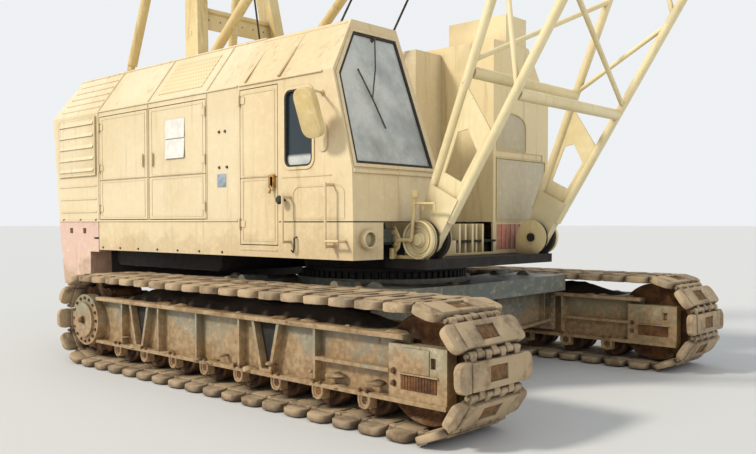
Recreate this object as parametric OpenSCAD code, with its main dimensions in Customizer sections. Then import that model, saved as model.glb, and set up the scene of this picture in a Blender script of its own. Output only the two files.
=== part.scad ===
// Crawler crane with a tubular lattice boom, in millimetres, +X to the boom side, +Y to the
// machine's left, +Z up. The ground is z = 0. Sizes along X are written from the slewing axis.

/* [Tracks] */
// Length of one track over its shoes
track_len = 5150; // [4900:10:5400]
// Height of one track
track_h = 900; // [860:10:940]
// Width over both tracks
gauge_w = 4300; // [4250:10:4450]
// Width of one shoe
shoe_w = 800; // [760:10:840]
// Thickness of the shoes
shoe_t = 75; // [60:1:80]
// Number of shoes in one track
shoe_n = 44; // [40:2:48]
// Gap between two shoes
shoe_gap = 14; // [8:1:30]
// Width of the rounded pad at each side of a shoe
pad_w = 120; // [80:5:150]
// Gap between two side pads
pad_gap = 62; // [30:2:90]

/* [Track frames] */
// Height of the top of the track frame
frame_z1 = 680; // [640:5:720]
// Width of the track frame over its flanges
frame_w = 600; // [560:5:640]
// Thickness of the frame's plates
plate_t = 30; // [20:1:40]
// Width of the slot between the frame's webs, which takes the rollers
slot_w = 380; // [360:2:400]
// Number of bottom rollers on one side
roller_n = 8; // [6:1:8]
// Distance between two rollers
roller_pitch = 460; // [430:1:465]
// Rolling diameter of a bottom roller
roller_d = 260; // [220:2:264]
// Diameter of the roller axles
roller_axle_d = 60; // [40:1:64]
// Diameter of the front idler
idler_d = 748; // [700:2:749]
// Width of idlers, drive wheels and rollers
wheel_w = 340; // [300:2:350]
// Diameter of the round final-drive hub
hub_d = 500; // [440:5:560]
// Teeth of the drive wheel
sprocket_n = 10; // [8:1:12]

/* [Car body] */
// Diameter of the ring pedestal
pedestal_d = 1720; // [1500:10:1900]
// Height of the top of the pedestal
pedestal_z1 = 900; // [880:5:930]
// Width of a cross girder
girder_w = 520; // [440:5:600]
// Distance of the cross girders from the slewing axis
girder_x = 800; // [700:10:900]
// Outer diameter of the slewing ring
ring_d = 1640; // [1450:10:1700]

/* [Upper works] */
// Width of the machine house
house_w = 3000; // [2900:10:3080]
// Underside of the turntable
deck_z0 = 1110; // [1090:5:1130]
// Height of the turntable frame
deck_t = 140; // [110:5:160]
// Bottom edge of the side doors and top of the counterweight
door_z0 = 1420; // [1380:5:1460]
// Height at which the chamfer of the house starts
chamfer_z = 2630; // [2560:5:2700]
// Height of the roof
roof_z = 3100; // [3000:10:3200]
// Inward run of the chamfer
chamfer_y = 340; // [280:5:400]
// Thickness of the house walls and doors
wall_t = 40; // [25:1:50]
// Rear end of the house behind the slewing axis
house_rear = 3950; // [3850:10:4050]
// Inner radius of the counterweight about the slewing axis
tail_clear_r = 3430; // [3400:5:3480]
// Underside of the counterweight
weight_z0 = 700; // [680:5:760]

/* [Boom] */
// Height of the boom foot pins
foot_z = 1270; // [1260:5:1300]
// Distance of the boom foot pins from the slewing axis
foot_x = 1250; // [1240:5:1290]
// Angle of the boom above the ground at rest
luff = 63; // [50:1:70]
// Length of the boom from foot pin to head shaft
boom_len = 14000; // [13800:50:14400]
// Length of the lower boom section
root_len = 6900; // [6850:10:7000]
// Distance from the boom's middle to its chords across the boom
chord_y = 830; // [800:5:860]
// Half the depth of the boom over its chord centres, where it is parallel
chord_h = 500; // [460:5:540]
// Half the depth at the foot pins
foot_h = 110; // [100:2:120]
// Diameter of the chord tubes
chord_d = 76; // [64:1:88]
// Diameter of the cross tubes
cross_d = 95; // [70:1:100]
// Diameter of the lacing tubes
lace_d = 42; // [32:1:50]
// Distance between two lacing nodes
lace_pitch = 900; // [850:5:920]
// Diameter of the foot pins
foot_pin_d = 80; // [60:1:90]
// Diameter of the head sheaves
sheave_d = 560; // [480:5:600]

/* [Gantry and stays] */
// Height of the gantry's head shaft
gantry_z = 6100; // [5800:10:6300]
// Diameter of the rear legs
leg_d = 115; // [90:1:130]
// Diameter of the backstop struts
strut_d = 110; // [90:1:120]
// Diameter of the rods in the backstop struts
strut_rod_d = 80; // [60:1:86]
// Diameter of the ropes
rope_d = 22; // [16:1:26]

/* [Hidden] */
$fn = 48;

// Overlap of pieces that are welded into one solid
weld = 2;
// Gap at a seat or between a pin and its bore
fit = 0.3;
pin_fit = 0.1;
// Gap round a door, and its hinges: their barrels and how far the axis lies outside the skin
door_gap = 8;
hinge_d = 22;
hinge_out = 13;
hinge_h = 90;

// Tracks and their wheels
track_y = gauge_w / 2 - shoe_w / 2;
mid_r = track_h / 2 - shoe_t / 2;
wheel_r = track_h / 2 - shoe_t;
end_x = track_len / 2 - track_h / 2;
loop_len = 4 * end_x + 2 * PI * mid_r;
shoe_pitch = loop_len / shoe_n;
belt_t = 34;
roller_z = shoe_t + roller_d / 2;
// The front roller stays clear of the idler, and the others follow at their pitch
roller_x1 = end_x - sqrt(pow((idler_d + roller_d) / 2 + 8, 2) - pow(track_h / 2 - roller_z, 2));
roller_x0 = roller_x1 - (roller_n - 1) * roller_pitch;
frame_z0 = roller_z + roller_axle_d / 2 + fit;
web_y = slot_w / 2 + plate_t;
flange_y = frame_w / 2;
// Inner side of the track frames, and the webs of the cross girders
frame_in = track_y - flange_y;
web_x = girder_w / 2 - 60;
// Ends of the upper boxes, short of the shoes of the upper run
arm_y = track_y - shoe_w / 2 - 15;
beam_front = end_x + 255;
beam_rear = end_x - 175;
axle_d = 110;

// Block at the left front, its grille and the entrance door of the cab
block_x = 970;
block_y = 500;
block_top = 3170;
grille_y0 = 560;
grille_y1 = 1230;
grille_z0 = 1150;
grille_z1 = 1395;
entry_x0 = -365;
entry_x1 = 140;
entry_z0 = 1220;
entry_z1 = 2580;

// House walls: the chamfer leans by chamfer_a from the vertical
chamfer_a = atan2(chamfer_y, roof_z - chamfer_z);
bend = wall_t * tan(chamfer_a / 2);
chamfer_t = wall_t / cos(chamfer_a);
house_y = house_w / 2;
roof_y = house_y - chamfer_y;
rear_x = -house_rear + 1060;
seam_x = -1880;
front_seam_x = -870;
cab_rear_x = -400;
cab_front_x = 1040;
cab_inner_y = 420;
door_top = chamfer_z - 60;
deck_z1 = deck_z0 + deck_t;
skirt_z0 = deck_z0 + weld + fit;

// Engine bed and the main beams under it, which reach back into the counterweight
bed_x0 = -house_rear + 700;
bed_x1 = -1950;
bed_y = 420;
beam_x0 = -house_rear + 600;

// Boom stations along its axis, and its depth there
taper_a = 5.3;
full_s = (chord_h - foot_h) / tan(taper_a);
lace_s0 = 1360;
root_bays = floor((root_len - 140 - lace_s0) / lace_pitch);
top_s0 = root_len + 140;
tip_s = boom_len - 600;
tip_taper_s = boom_len - 3360;
anchor_s = root_len + 500;
top_bays = 4;
mid_s = tip_taper_s - 120;
top_stations = concat(
    [for (i = [0:top_bays]) anchor_s + i * (mid_s - anchor_s) / top_bays],
    [for (i = [1:top_bays]) mid_s + i * (tip_s - mid_s) / top_bays]
);
root_stations = [for (i = [0:root_bays]) lace_s0 + i * lace_pitch];
tip_h = 190;
tip_y = 400;
root_lace_end = root_len - 140;
function depth(s) = s < full_s ? foot_h + s * tan(taper_a)
    : s < tip_taper_s ? chord_h
    : chord_h + (tip_h - chord_h) * (s - tip_taper_s) / (tip_s - tip_taper_s);
function half_w(s) = s < tip_taper_s ? chord_y
    : chord_y + (tip_y - chord_y) * (s - tip_taper_s) / (tip_s - tip_taper_s);
function chord_at(s, rear, left) = [s, left ? half_w(s) : -half_w(s), rear ? depth(s) : -depth(s)];

// Gantry, struts and stays
post_x = -2300;
post_y = 605;
post_z0 = 3300;
post_lean = 8.8;
post_in = 5.5;
gantry_x = post_x - (gantry_z - post_z0) * tan(post_lean);
leg_x = -house_rear + 450;
leg_y = 740;
strut_x = -2060;
strut_z = roof_z + 135;
strut_y = 590;
strut_s = 7100;
strut_h = 850;
stay_s = boom_len - 400;
stay_h = 450;
stay_y = 560;
leg_top_y = 475;
falls_len = 5400;
falls_back = 5150;
bridle_at = 7200;
function on_boom(s, h) = [foot_x + s * cos(luff) - h * sin(luff), foot_z + s * sin(luff) + h * cos(luff)];
strut_eye = on_boom(strut_s, strut_h);
strut_len = norm([strut_eye[0] - strut_x, strut_eye[1] - strut_z]);
strut_a = atan2(strut_eye[1] - strut_z, strut_eye[0] - strut_x);
stay_eye = on_boom(stay_s, stay_h);
stay_len = norm([stay_eye[0] - gantry_x, stay_eye[1] - gantry_z]);
stay_a = atan2(stay_eye[1] - gantry_z, stay_eye[0] - gantry_x);
head = on_boom(boom_len, 0);

// Hook block: its place in front of the head shaft and half its length
fall_x = sheave_d / 2 - 12;
block_r = 170;

// The origin lies on the ground under the middle of the whole crane
front_end = head[0] + fall_x + block_r;
axis_x = (house_rear - front_end) / 2;

module at_axis() translate([axis_x, 0, 0]) children();
module on_side(left) {
    if (left) mirror([0, 1, 0]) children();
    else children();
}
// A round bar from point a to point b
module bar(a, b, d) {
    v = b - a;
    translate(a)
        rotate([0, acos(v[2] / norm(v)), atan2(v[1], v[0])])
            cylinder(h = norm(v), d = d);
}
// A square bar from a to b, w wide along X and t thick along Y
module beam(a, b, w, t) {
    v = b - a;
    translate(a)
        rotate([asin(-v[1] / norm(v)), atan2(v[0], v[2]), 0])
            translate([-w / 2, -t / 2, 0]) cube([w, t, norm(v)]);
}
// A drawing in the X-Z plane, w thick across Y with its middle at y
module slab_y(y, w) translate([0, y + w / 2, 0]) rotate([90, 0, 0]) linear_extrude(w) children();
// A drawing in the Y-Z plane, from x0 to x1
module slab_x(x0, x1) translate([x0, 0, 0]) rotate([90, 0, 90]) linear_extrude(x1 - x0) children();
// A box given by its lowest and highest corners
module box(lo, hi) translate(lo) cube(hi - lo);
// Hinge barrels of a door in the right side, with the straps that carry them
module hinges(x, into, heights) for (z = heights) {
    translate([x, -house_y - hinge_out, z - hinge_h / 2]) cylinder(h = hinge_h, d = hinge_d, $fn = 24);
    box([into > 0 ? x : x - 70, -house_y - 6, z - 30], [into > 0 ? x + 70 : x, -house_y + 1, z + 30]);
}
// A cylinder along Y from y0 to y1
module rod_y(x, z, y0, y1, d) translate([x, y0, z]) rotate([-90, 0, 0]) cylinder(h = y1 - y0, d = d);

// Place and outward direction at distance u along a track's middle line
function loop_at(u) =
    u < 2 * end_x ? [u - end_x, -90]
    : u < 2 * end_x + PI * mid_r ? [end_x, (u - 2 * end_x) / mid_r * 180 / PI - 90]
    : u < 4 * end_x + PI * mid_r ? [3 * end_x + PI * mid_r - u, 90]
    : [-end_x, 90 + (u - 4 * end_x - PI * mid_r) / mid_r * 180 / PI];
module stadium(r) {
    translate([-end_x, track_h / 2]) circle(r, $fn = 64);
    translate([end_x, track_h / 2]) circle(r, $fn = 64);
    translate([-end_x, track_h / 2 - r]) square([2 * end_x, 2 * r]);
}
module shoe_outline() {
    half = (shoe_pitch - shoe_gap) / 2;
    crown = 17;
    run = 50;
    polygon([
        [-half, -shoe_t / 2], [half, -shoe_t / 2], [half, shoe_t / 2 - crown],
        [half - run, shoe_t / 2], [run - half, shoe_t / 2], [-half, shoe_t / 2 - crown]
    ]);
}
module side_pad() {
    half = (shoe_pitch - pad_gap) / 2;
    corner = 48;
    translate([0, 0, -shoe_t / 2 + 10])
        linear_extrude(shoe_t - 19)
            polygon([
                [-half, -weld], [half, -weld], [half, pad_w - corner],
                [half - corner, pad_w], [corner - half, pad_w], [-half, pad_w - corner]
            ]);
}
module track(left) at_axis() on_side(left) color("#9a8a6c") translate([0, -track_y, 0]) {
    slab_y(0, shoe_w - 2 * pad_w) {
        difference() {
            stadium(wheel_r + belt_t);
            stadium(wheel_r);
        }
        for (i = [0:shoe_n - 1]) {
            p = loop_at((i + 0.5) * shoe_pitch);
            translate([p[0], track_h / 2]) rotate(p[1] - 90) translate([0, mid_r]) shoe_outline();
        }
    }
    for (i = [0:shoe_n - 1]) {
        p = loop_at((i + 0.5) * shoe_pitch);
        translate([p[0], 0, track_h / 2]) rotate([0, 90 - p[1], 0]) translate([0, 0, mid_r]) {
            translate([0, shoe_w / 2 - pad_w, 0]) side_pad();
            mirror([0, 1, 0]) translate([0, shoe_w / 2 - pad_w, 0]) side_pad();
        }
    }
}

// One web of a track frame with its yoke round the idler and its eye round the drive shaft
module web_outline() {
    difference() {
        union() {
            translate([-beam_rear, frame_z0]) square([beam_rear + end_x - 100, frame_z1 - frame_z0]);
            translate([0, frame_z0 + 25]) square([beam_front, frame_z1 - frame_z0 - 85]);
            translate([-end_x, track_h / 2]) circle(210);
        }
        translate([end_x, track_h / 2]) circle(d = axle_d + 2 * fit);
        translate([-end_x, track_h / 2]) circle(d = axle_d + 2 * fit);
    }
}
// An open pocket of two slanting plates between the flanges
module pocket_outline(w) {
    h = frame_z1 - frame_z0 - 2 * plate_t;
    difference() {
        polygon([[-w / 2, h], [w / 2, h], [w / 5, 0], [-w / 5, 0]]);
        polygon([[-w / 2 + 30, h + 1], [w / 2 - 30, h + 1], [w / 5 - 25, 25], [-w / 5 + 25, 25]]);
    }
}
module side_frame(left) at_axis() on_side(left) color("#8d8c7c") translate([0, -track_y, 0]) {
    rib_y = flange_y - 12;
    for (s = [-1, 1]) {
        slab_y(s * (web_y - plate_t / 2), plate_t) web_outline();
        f0 = s > 0 ? web_y - weld : -flange_y;
        f1 = s > 0 ? flange_y : -web_y + weld;
        // Flanges along the top and the bottom
        box([-beam_rear, f0, frame_z0], [beam_front, f1, frame_z0 + plate_t]);
        box([-beam_rear, f0, frame_z1 - plate_t], [end_x - 100, f1, frame_z1]);
        // Box at the idler's yoke, with two slots
        difference() {
            box([end_x - 230, s > 0 ? web_y - weld : -rib_y, frame_z0 + weld],
                [beam_front, s > 0 ? rib_y : -web_y + weld, frame_z1 - 60]);
            for (z = [frame_z0 + 90, frame_z0 + 250])
                box([beam_front - 130, s > 0 ? rib_y - 30 : -rib_y - 1, z],
                    [beam_front - 90, s > 0 ? rib_y + 1 : -rib_y + 30, z + 70]);
            rod_y(end_x, track_h / 2, s > 0 ? 0 : -400, s > 0 ? 400 : 0, axle_d + 2 * fit);
        }
        // Upright ribs
        for (x = [-1500, -880, -300, 280, 1160])
            box([x, s > 0 ? web_y - weld : -rib_y, frame_z0 + plate_t - weld],
                [x + 22, s > 0 ? rib_y : -web_y + weld, frame_z1 - plate_t + weld]);
        // Pockets
        for (x = [-1190, 620])
            translate([x, 0, frame_z0 + plate_t])
                slab_y(s * (web_y + rib_y) / 2 - s * weld / 2, rib_y - web_y + weld) pocket_outline(330);
        // Ledge
        box([1180, s > 0 ? web_y - weld : -rib_y - 6, frame_z0 + 190],
            [end_x - 228, s > 0 ? rib_y + 6 : -web_y + weld, frame_z0 + 215]);
        // Clamps that hold the roller axles
        difference() {
            for (i = [0:roller_n - 1])
                translate([roller_x0 + i * roller_pitch, 0, 0])
                    box([-55, s > 0 ? web_y + 4 : -rib_y, roller_z - roller_axle_d / 2 - 24],
                        [55, s > 0 ? rib_y : -web_y - 4, frame_z0 + weld]);
            for (i = [0:roller_n - 1])
                rod_y(roller_x0 + i * roller_pitch, roller_z, -400, 400, roller_axle_d + 2 * fit);
        }
    }
    // Top plate, cut back round the idler and the drive wheel
    difference() {
        box([-beam_rear, -web_y + weld, frame_z1 - plate_t], [end_x - 100, web_y - weld, frame_z1]);
        for (x = [-end_x, end_x]) rod_y(x, track_h / 2, -slot_w / 2, slot_w / 2, 2 * wheel_r + 40);
    }
}

// A wheel turned about Y, with a groove for the guide lugs of the shoes
module grooved_wheel(r, groove_r, hub_r, shaft_r, shaft_w) {
    w = wheel_w / 2;
    rotate([-90, 0, 0]) rotate_extrude()
        polygon([
            [0, -shaft_w], [shaft_r, -shaft_w], [shaft_r, -w - 4], [hub_r, -w - 4], [hub_r, -w + 20],
            [groove_r - 30, -w + 30], [r - 10, -w], [r, -w + 10], [r, -55], [groove_r, -45],
            [groove_r, 45], [r, 55], [r, w - 10], [r - 10, w], [groove_r - 30, w - 30],
            [hub_r, w - 20], [hub_r, w + 4], [shaft_r, w + 4], [shaft_r, shaft_w], [0, shaft_w]
        ]);
}
module rollers(left) at_axis() on_side(left) color("#a2752f") translate([0, -track_y, 0])
    for (i = [0:roller_n - 1])
        translate([roller_x0 + i * roller_pitch, 0, roller_z])
            grooved_wheel(roller_d / 2, roller_d / 2 - 28, 70, roller_axle_d / 2, flange_y - 12);
module idlers() at_axis() color("#8a7550")
    for (y = [-track_y, track_y])
        translate([end_x, y, track_h / 2])
            grooved_wheel(idler_d / 2, idler_d / 2 - 45, 120, axle_d / 2, flange_y - 12);
module drive_wheels() at_axis() color("#8a7550")
    for (y = [-track_y, track_y]) translate([-end_x, y, track_h / 2]) {
        lug_d = 120;
        slab_y(0, wheel_w) {
            circle(wheel_r - 50);
            for (i = [0:sprocket_n - 1])
                rotate((i + 0.5) * 360 / sprocket_n)
                    translate([wheel_r - lug_d / 2 - 2, 0]) circle(d = lug_d, $fn = 24);
        }
        rod_y(0, 0, -web_y, web_y, axle_d);
    }
module final_drives() at_axis() color("#8d8c7c")
    for (left = [false, true]) on_side(left) translate([-end_x, -track_y, track_h / 2]) {
        // Round hub cover outside, gear case and travel motor inside
        rod_y(0, 0, -flange_y - 20, -web_y - fit, hub_d);
        rod_y(0, 0, -flange_y - 45, -flange_y - 18, hub_d - 160);
        rod_y(0, 0, web_y + fit, flange_y + 60, hub_d);
        rod_y(0, 0, flange_y + 58, flange_y + 430, hub_d * 0.62);
        rod_y(0, 0, flange_y + 428, flange_y + 470, hub_d * 0.48);
    }

// Lower line of a cross girder, which rises a little towards the track frames
girder_line = [[-frame_in, 385], [-950, 350], [950, 350], [frame_in, 385]];
module car_body() at_axis() color("#87887a") {
    for (turn = [0, 180]) rotate([0, 0, turn]) {
        // Bottom flange and the set-back webs
        slab_x(girder_x - girder_w / 2, girder_x + girder_w / 2)
            polygon(concat(girder_line, [for (i = [3:-1:0]) girder_line[i] + [0, 28]]));
        slab_x(girder_x - web_x, girder_x + web_x)
            polygon(concat(girder_line, [
                [frame_in, 670], [arm_y - 5, 760], [5 - arm_y, 760], [-frame_in, 670]
            ]));
        // Box on top, which widens and rises towards the track frames
        for (s = [-1, 1]) hull() {
            box([girder_x - girder_w / 2, s > 0 ? -1 : -700, 680],
                [girder_x + girder_w / 2, s > 0 ? 700 : 1, 845]);
            box([girder_x - girder_w / 2, s * (arm_y - 10) - 10, 725],
                [girder_x + girder_w / 2 + 220, s * (arm_y - 10) + 10, 885]);
        }
        for (y = [20 - arm_y, -480, 464, arm_y - 36])
            box([girder_x + web_x - 1, y, abs(y) > 950 ? 390 : 370],
                [girder_x + girder_w / 2 - 4, y + 16, abs(y) > 950 ? 740 : 690]);
    }
    // Middle box and the pedestal under the slewing ring
    box([-girder_x, -880, 380], [girder_x, 880, 820]);
    translate([0, 0, 330]) cylinder(h = pedestal_z1 - 330, d = pedestal_d);
    // End plates against the track frames
    for (x = [-girder_x, girder_x], s = [-1, 1])
        box([x - girder_w / 2 - 40, s > 0 ? frame_in - 35 : -frame_in, 300],
            [x + girder_w / 2 + 40, s > 0 ? frame_in : -frame_in + 35, 670]);
}
// Tow eyes at the front and the rear: a lug with an upright bore on a bolted plate
module tow_eyes() at_axis() color("#87887a")
    for (turn = [0, 180], y = [-260, 260])
        rotate([0, 0, turn]) translate([girder_x + web_x + fit, y, 560]) {
            box([0, -100, -90], [24, 100, 90]);
            translate([0, 0, -20]) linear_extrude(40) difference() {
                union() {
                    translate([160, 0]) circle(75);
                    translate([22, -75]) square([138, 150]);
                }
                translate([160, 0]) circle(d = 70);
            }
        }
module slew_ring() at_axis() color("#4a4742") translate([0, 0, pedestal_z1]) {
    teeth = 72;
    linear_extrude(60) difference() {
        circle(d = ring_d, $fn = 96);
        circle(d = ring_d - 300, $fn = 96);
        for (i = [0:teeth - 1]) rotate(i * 360 / teeth)
            translate([ring_d / 2 - 22, 0]) polygon([[0, -12], [60, -30], [60, 30], [0, 12]]);
    }
    linear_extrude(95) difference() {
        circle(d = ring_d - 80, $fn = 96);
        circle(d = ring_d - 299, $fn = 96);
    }
}

// Drawing of one ear that holds a boom foot
module foot_ear_outline() {
    translate([foot_x, foot_z]) circle(ear_r);
    translate([foot_x - 170, deck_z0 - 80]) square([240, 120]);
    polygon([
        [foot_x - 170, deck_z0], [foot_x, deck_z0], [foot_x, foot_z], [foot_x - ear_r + 1, foot_z]
    ]);
}
ear_r = 158;
foot_t = 90;
ear_t = 40;
foot_side = 8;
module turntable() at_axis() color("#7f7a66") {
    edge_y = house_y - 20 - fit;
    // Deck plate and the ring's upper half
    box([-3000, -edge_y, deck_z1 - 20], [block_x - 25, edge_y, deck_z1]);
    box([block_x - 26, -edge_y, deck_z1 - 20], [cab_front_x - 24, block_y - 20, deck_z1]);
    translate([0, 0, pedestal_z1 + 100])
        cylinder(h = deck_z1 - pedestal_z1 - 110, d = ring_d - 60, $fn = 96);
    // Main beams, which carry the counterweight, and the beam under the boom feet
    for (s = [-1, 1]) {
        box([beam_x0, s * chord_y - 90, deck_z0], [block_x - 30, s * chord_y + 90, deck_z1 + 20]);
        for (e = [-1, 1])
            slab_y(s * chord_y + e * (foot_t / 2 + foot_side + ear_t / 2), ear_t) foot_ear_outline();
        out = foot_t / 2 + foot_side + ear_t + 22;
        rod_y(foot_x, foot_z, s * chord_y - out, s * chord_y + out, foot_pin_d);
        // The round outer boss that keeps the foot pin
        translate([foot_x, s * (chord_y + out - 13) + 11, foot_z]) rotate([90, 0, 0])
            cylinder(h = 22, d = 300);
    }
    box([block_x - 90, -chord_y - 120, deck_z0 - 80], [foot_x + 100, chord_y + 120, deck_z0 + weld]);
    for (x = [-2880, -1500, 800])
        box([x, -edge_y, deck_z0 + 10], [x + 90, edge_y, deck_z1 - 10]);
}
module skirts() at_axis() color("#e6cf9f") {
    difference() {
        for (s = [-1, 1])
            box([rear_x + 4, s > 0 ? house_y - 20 : -house_y, skirt_z0],
                [s > 0 ? block_x - 19 : cab_front_x - 20, s > 0 ? house_y : -house_y + 20, door_z0 - fit]);
        box([entry_x0 - door_gap, -house_y - 1, entry_z0 - door_gap],
            [entry_x1 + door_gap, -house_y + 21, door_z0]);
    }
    // Left front panel with an opening for the grille
    difference() {
        box([block_x - 20, block_y, skirt_z0], [block_x, house_y, door_z0 - fit]);
        box([block_x - 21, grille_y0, grille_z0], [block_x + 1, grille_y1, grille_z1]);
    }
    // Front panel below the cab, with the lamp, and the open lever bay beside it
    difference() {
        box([cab_front_x - 21, -house_y, skirt_z0], [cab_front_x, -1150, door_z0 - fit]);
        translate([cab_front_x - 30, -1350, 1275]) rotate([0, 90, 0]) cylinder(h = 40, d = 110);
    }
    translate([cab_front_x - 18, -1350, 1275]) rotate([0, 90, 0]) difference() {
        cylinder(h = 60, d = 160);
        translate([0, 0, 25]) cylinder(h = 40, d = 120);
    }
    box([cab_front_x - 21, -580, skirt_z0], [cab_front_x, -180, deck_z1]);
}
module counterweight() at_axis() color("#dcb3a4") difference() {
    slab_y(0, house_w) polygon([
        [rear_x - 10, door_z0 - fit], [rear_x - 10, weight_z0],
        [-house_rear + 250, weight_z0], [-house_rear + 135, door_z0 - fit]
    ]);
    translate([0, 0, weight_z0 - 1]) cylinder(h = deck_z0 - weight_z0 - 20, r = tail_clear_r, $fn = 128);
    // Room for the main beams, and slots for lifting near the top
    for (s = [-1, 1]) {
        box([beam_x0 - fit, s * chord_y - 90 - fit, deck_z0 - 22],
            [rear_x, s * chord_y + 90 + fit, deck_z1 + 20 + fit]);
        for (x = [-house_rear + 700, -house_rear + 390])
            box([x, s > 0 ? house_y - 60 : -house_y - 1, 1290],
                [x + 70, s > 0 ? house_y + 1 : -house_y + 60, 1350]);
    }
    // Well in the top for the engine's bed
    box([bed_x0 - 50, -bed_y - 80, deck_z1], [rear_x, bed_y + 80, door_z0]);
    box([-3000 - fit, -house_y - 1, deck_z1 - 20 - fit], [rear_x, house_y + 1, deck_z1 + fit]);
}

// Half of the house's skin in the Y-Z plane, right side
module skin_outline(z0) {
    polygon([
        [-house_y, z0], [-house_y, chamfer_z], [-roof_y, roof_z], [-roof_y + chamfer_t, roof_z],
        [-house_y + wall_t, chamfer_z - bend], [-house_y + wall_t, z0]
    ]);
}
module whole_outline(z0, inset) {
    y0 = house_y - inset;
    y1 = roof_y - inset * tan((90 - chamfer_a) / 2);
    polygon([
        [-y0, z0], [-y0, chamfer_z - inset * tan(chamfer_a / 2)], [-y1, roof_z - inset],
        [y1, roof_z - inset], [y0, chamfer_z - inset * tan(chamfer_a / 2)], [y0, z0]
    ]);
}
// Side doors between the seams: x from, x to
side_doors = [[rear_x + 30, seam_x - 15], [seam_x + 15, front_seam_x - 15]];
module house_side(left) at_axis() on_side(left) color("#ead7ac") difference() {
    slab_x(rear_x + 1, cab_rear_x - 1) skin_outline(door_z0);
    for (d = side_doors)
        box([d[0], -house_y - 1, door_z0 + 20], [d[1], -house_y + wall_t + 1, door_top]);
}
module side_door(left, i) at_axis() on_side(left) color("#ecd8ad") difference() {
    d = side_doors[i];
    union() {
        box([d[0] + door_gap, -house_y, door_z0 + 20 + door_gap],
            [d[1] - door_gap, -house_y + wall_t, door_top - door_gap]);
        // Handle and hinges
        translate([i == 0 ? d[1] - 90 : d[0] + 60, -house_y - 25, 1990]) cube([30, 26, 120]);
        hinges(i == 0 ? d[0] + door_gap / 2 : d[1] - door_gap / 2, i == 0 ? 1 : -1, [1560, 2005, 2450]);
    }
    // Groove along the split at half height
    box([d[0], -house_y - 1, 1865], [d[1], -house_y + 8, 1875]);
}
module rear_side_outline() {
    polygon([
        [rear_x, door_z0], [rear_x, roof_z + 1], [-house_rear + 70, roof_z + 1],
        [-house_rear, chamfer_z], [-house_rear + 140, door_z0]
    ]);
}
louvre_n = 9;
louvre_z0 = 1960;
louvre_z1 = 2560;
module house_rear() at_axis() color("#ead7ac") {
    rear_shell();
    for (left = [false, true]) on_side(left) mirror([0, 1, 0]) bracket(brackets[2]);
}
module rear_shell() difference() {
    intersection() {
        slab_x(-house_rear - 10, rear_x) whole_outline(door_z0, 0);
        slab_y(0, house_w + 2) rear_side_outline();
    }
    intersection() {
        slab_x(-house_rear - 10, rear_x + 10) whole_outline(door_z0 - 10, wall_t);
        slab_y(0, house_w + 2) translate([wall_t, 0]) polygon([
            [rear_x + 200, door_z0 - 1], [rear_x + 200, roof_z + 10], [-house_rear + 70, roof_z + 10],
            [-house_rear, chamfer_z], [-house_rear + 140, door_z0 - 1]
        ]);
    }
    // Openings behind the louvres
    for (s = [-1, 1])
        box([-house_rear + 190, s > 0 ? house_y - 100 : -house_y - 100, louvre_z0],
            [rear_x - 70, s > 0 ? house_y + 100 : -house_y + 100, louvre_z1]);
    for (i = [0:louvre_n - 1])
        box([-house_rear - 100, -1100, louvre_z0 + i * 65],
            [-house_rear + 300, 1100, louvre_z0 + i * 65 + 25]);
}
module louvres() at_axis() color("#e3cd9c") {
    pitch = (louvre_z1 - louvre_z0) / louvre_n;
    for (i = [0:louvre_n - 1]) {
        z = louvre_z0 + (i + 0.5) * pitch;
        for (s = [-1, 1])
            translate([-house_rear + 190 + fit, s * (house_y - wall_t / 2), z]) rotate([s * -35, 0, 0])
                translate([0, -2, -pitch * 0.42])
                    cube([870 - 70 - 2 * fit, 4, pitch * 0.84]);
    }
    for (s = [-1, 1], x = [-house_rear + 190 + fit, -house_rear + 590, rear_x - 76 - fit])
        box([x, s * (house_y - wall_t / 2) - 14, louvre_z0 + fit],
            [x + 6, s * (house_y - wall_t / 2) + 14, louvre_z1 - fit]);
}
// Brackets on the roof: x, y, space between the ears, height of the pin above the roof
brackets = [
    [post_x + (post_z0 - roof_z - 110) * tan(post_lean), post_y + 9, 162, 110],
    [strut_x, strut_y, 60, strut_z - roof_z],
    [leg_x, leg_y, 60, 110]
];
module bracket(b) translate([b[0], b[1], roof_z]) {
    translate([-90, -b[2] / 2 - 26, -weld]) cube([180, b[2] + 52, 14 + weld]);
    for (e = [-1, 1])
        slab_y(e * (b[2] / 2 + 12), 20) {
            translate([0, b[3]]) circle(50);
            translate([-50, 12]) square([100, b[3] - 12]);
        }
    rod_y(0, b[3], -b[2] / 2 - 30, b[2] / 2 + 30, 50);
}
module roof() at_axis() color("#e6d2a6") {
    y1 = roof_y - chamfer_t - fit;
    difference() {
        box([rear_x + 1, -y1, roof_z - wall_t], [cab_rear_x - 1, y1, roof_z]);
        // Slot for the hoist ropes
        box([-900, -330, roof_z - wall_t - 1], [cab_rear_x, 60, roof_z + 1]);
    }
    for (left = [false, true], i = [0, 1]) on_side(left) mirror([0, 1, 0]) bracket(brackets[i]);
}
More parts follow.
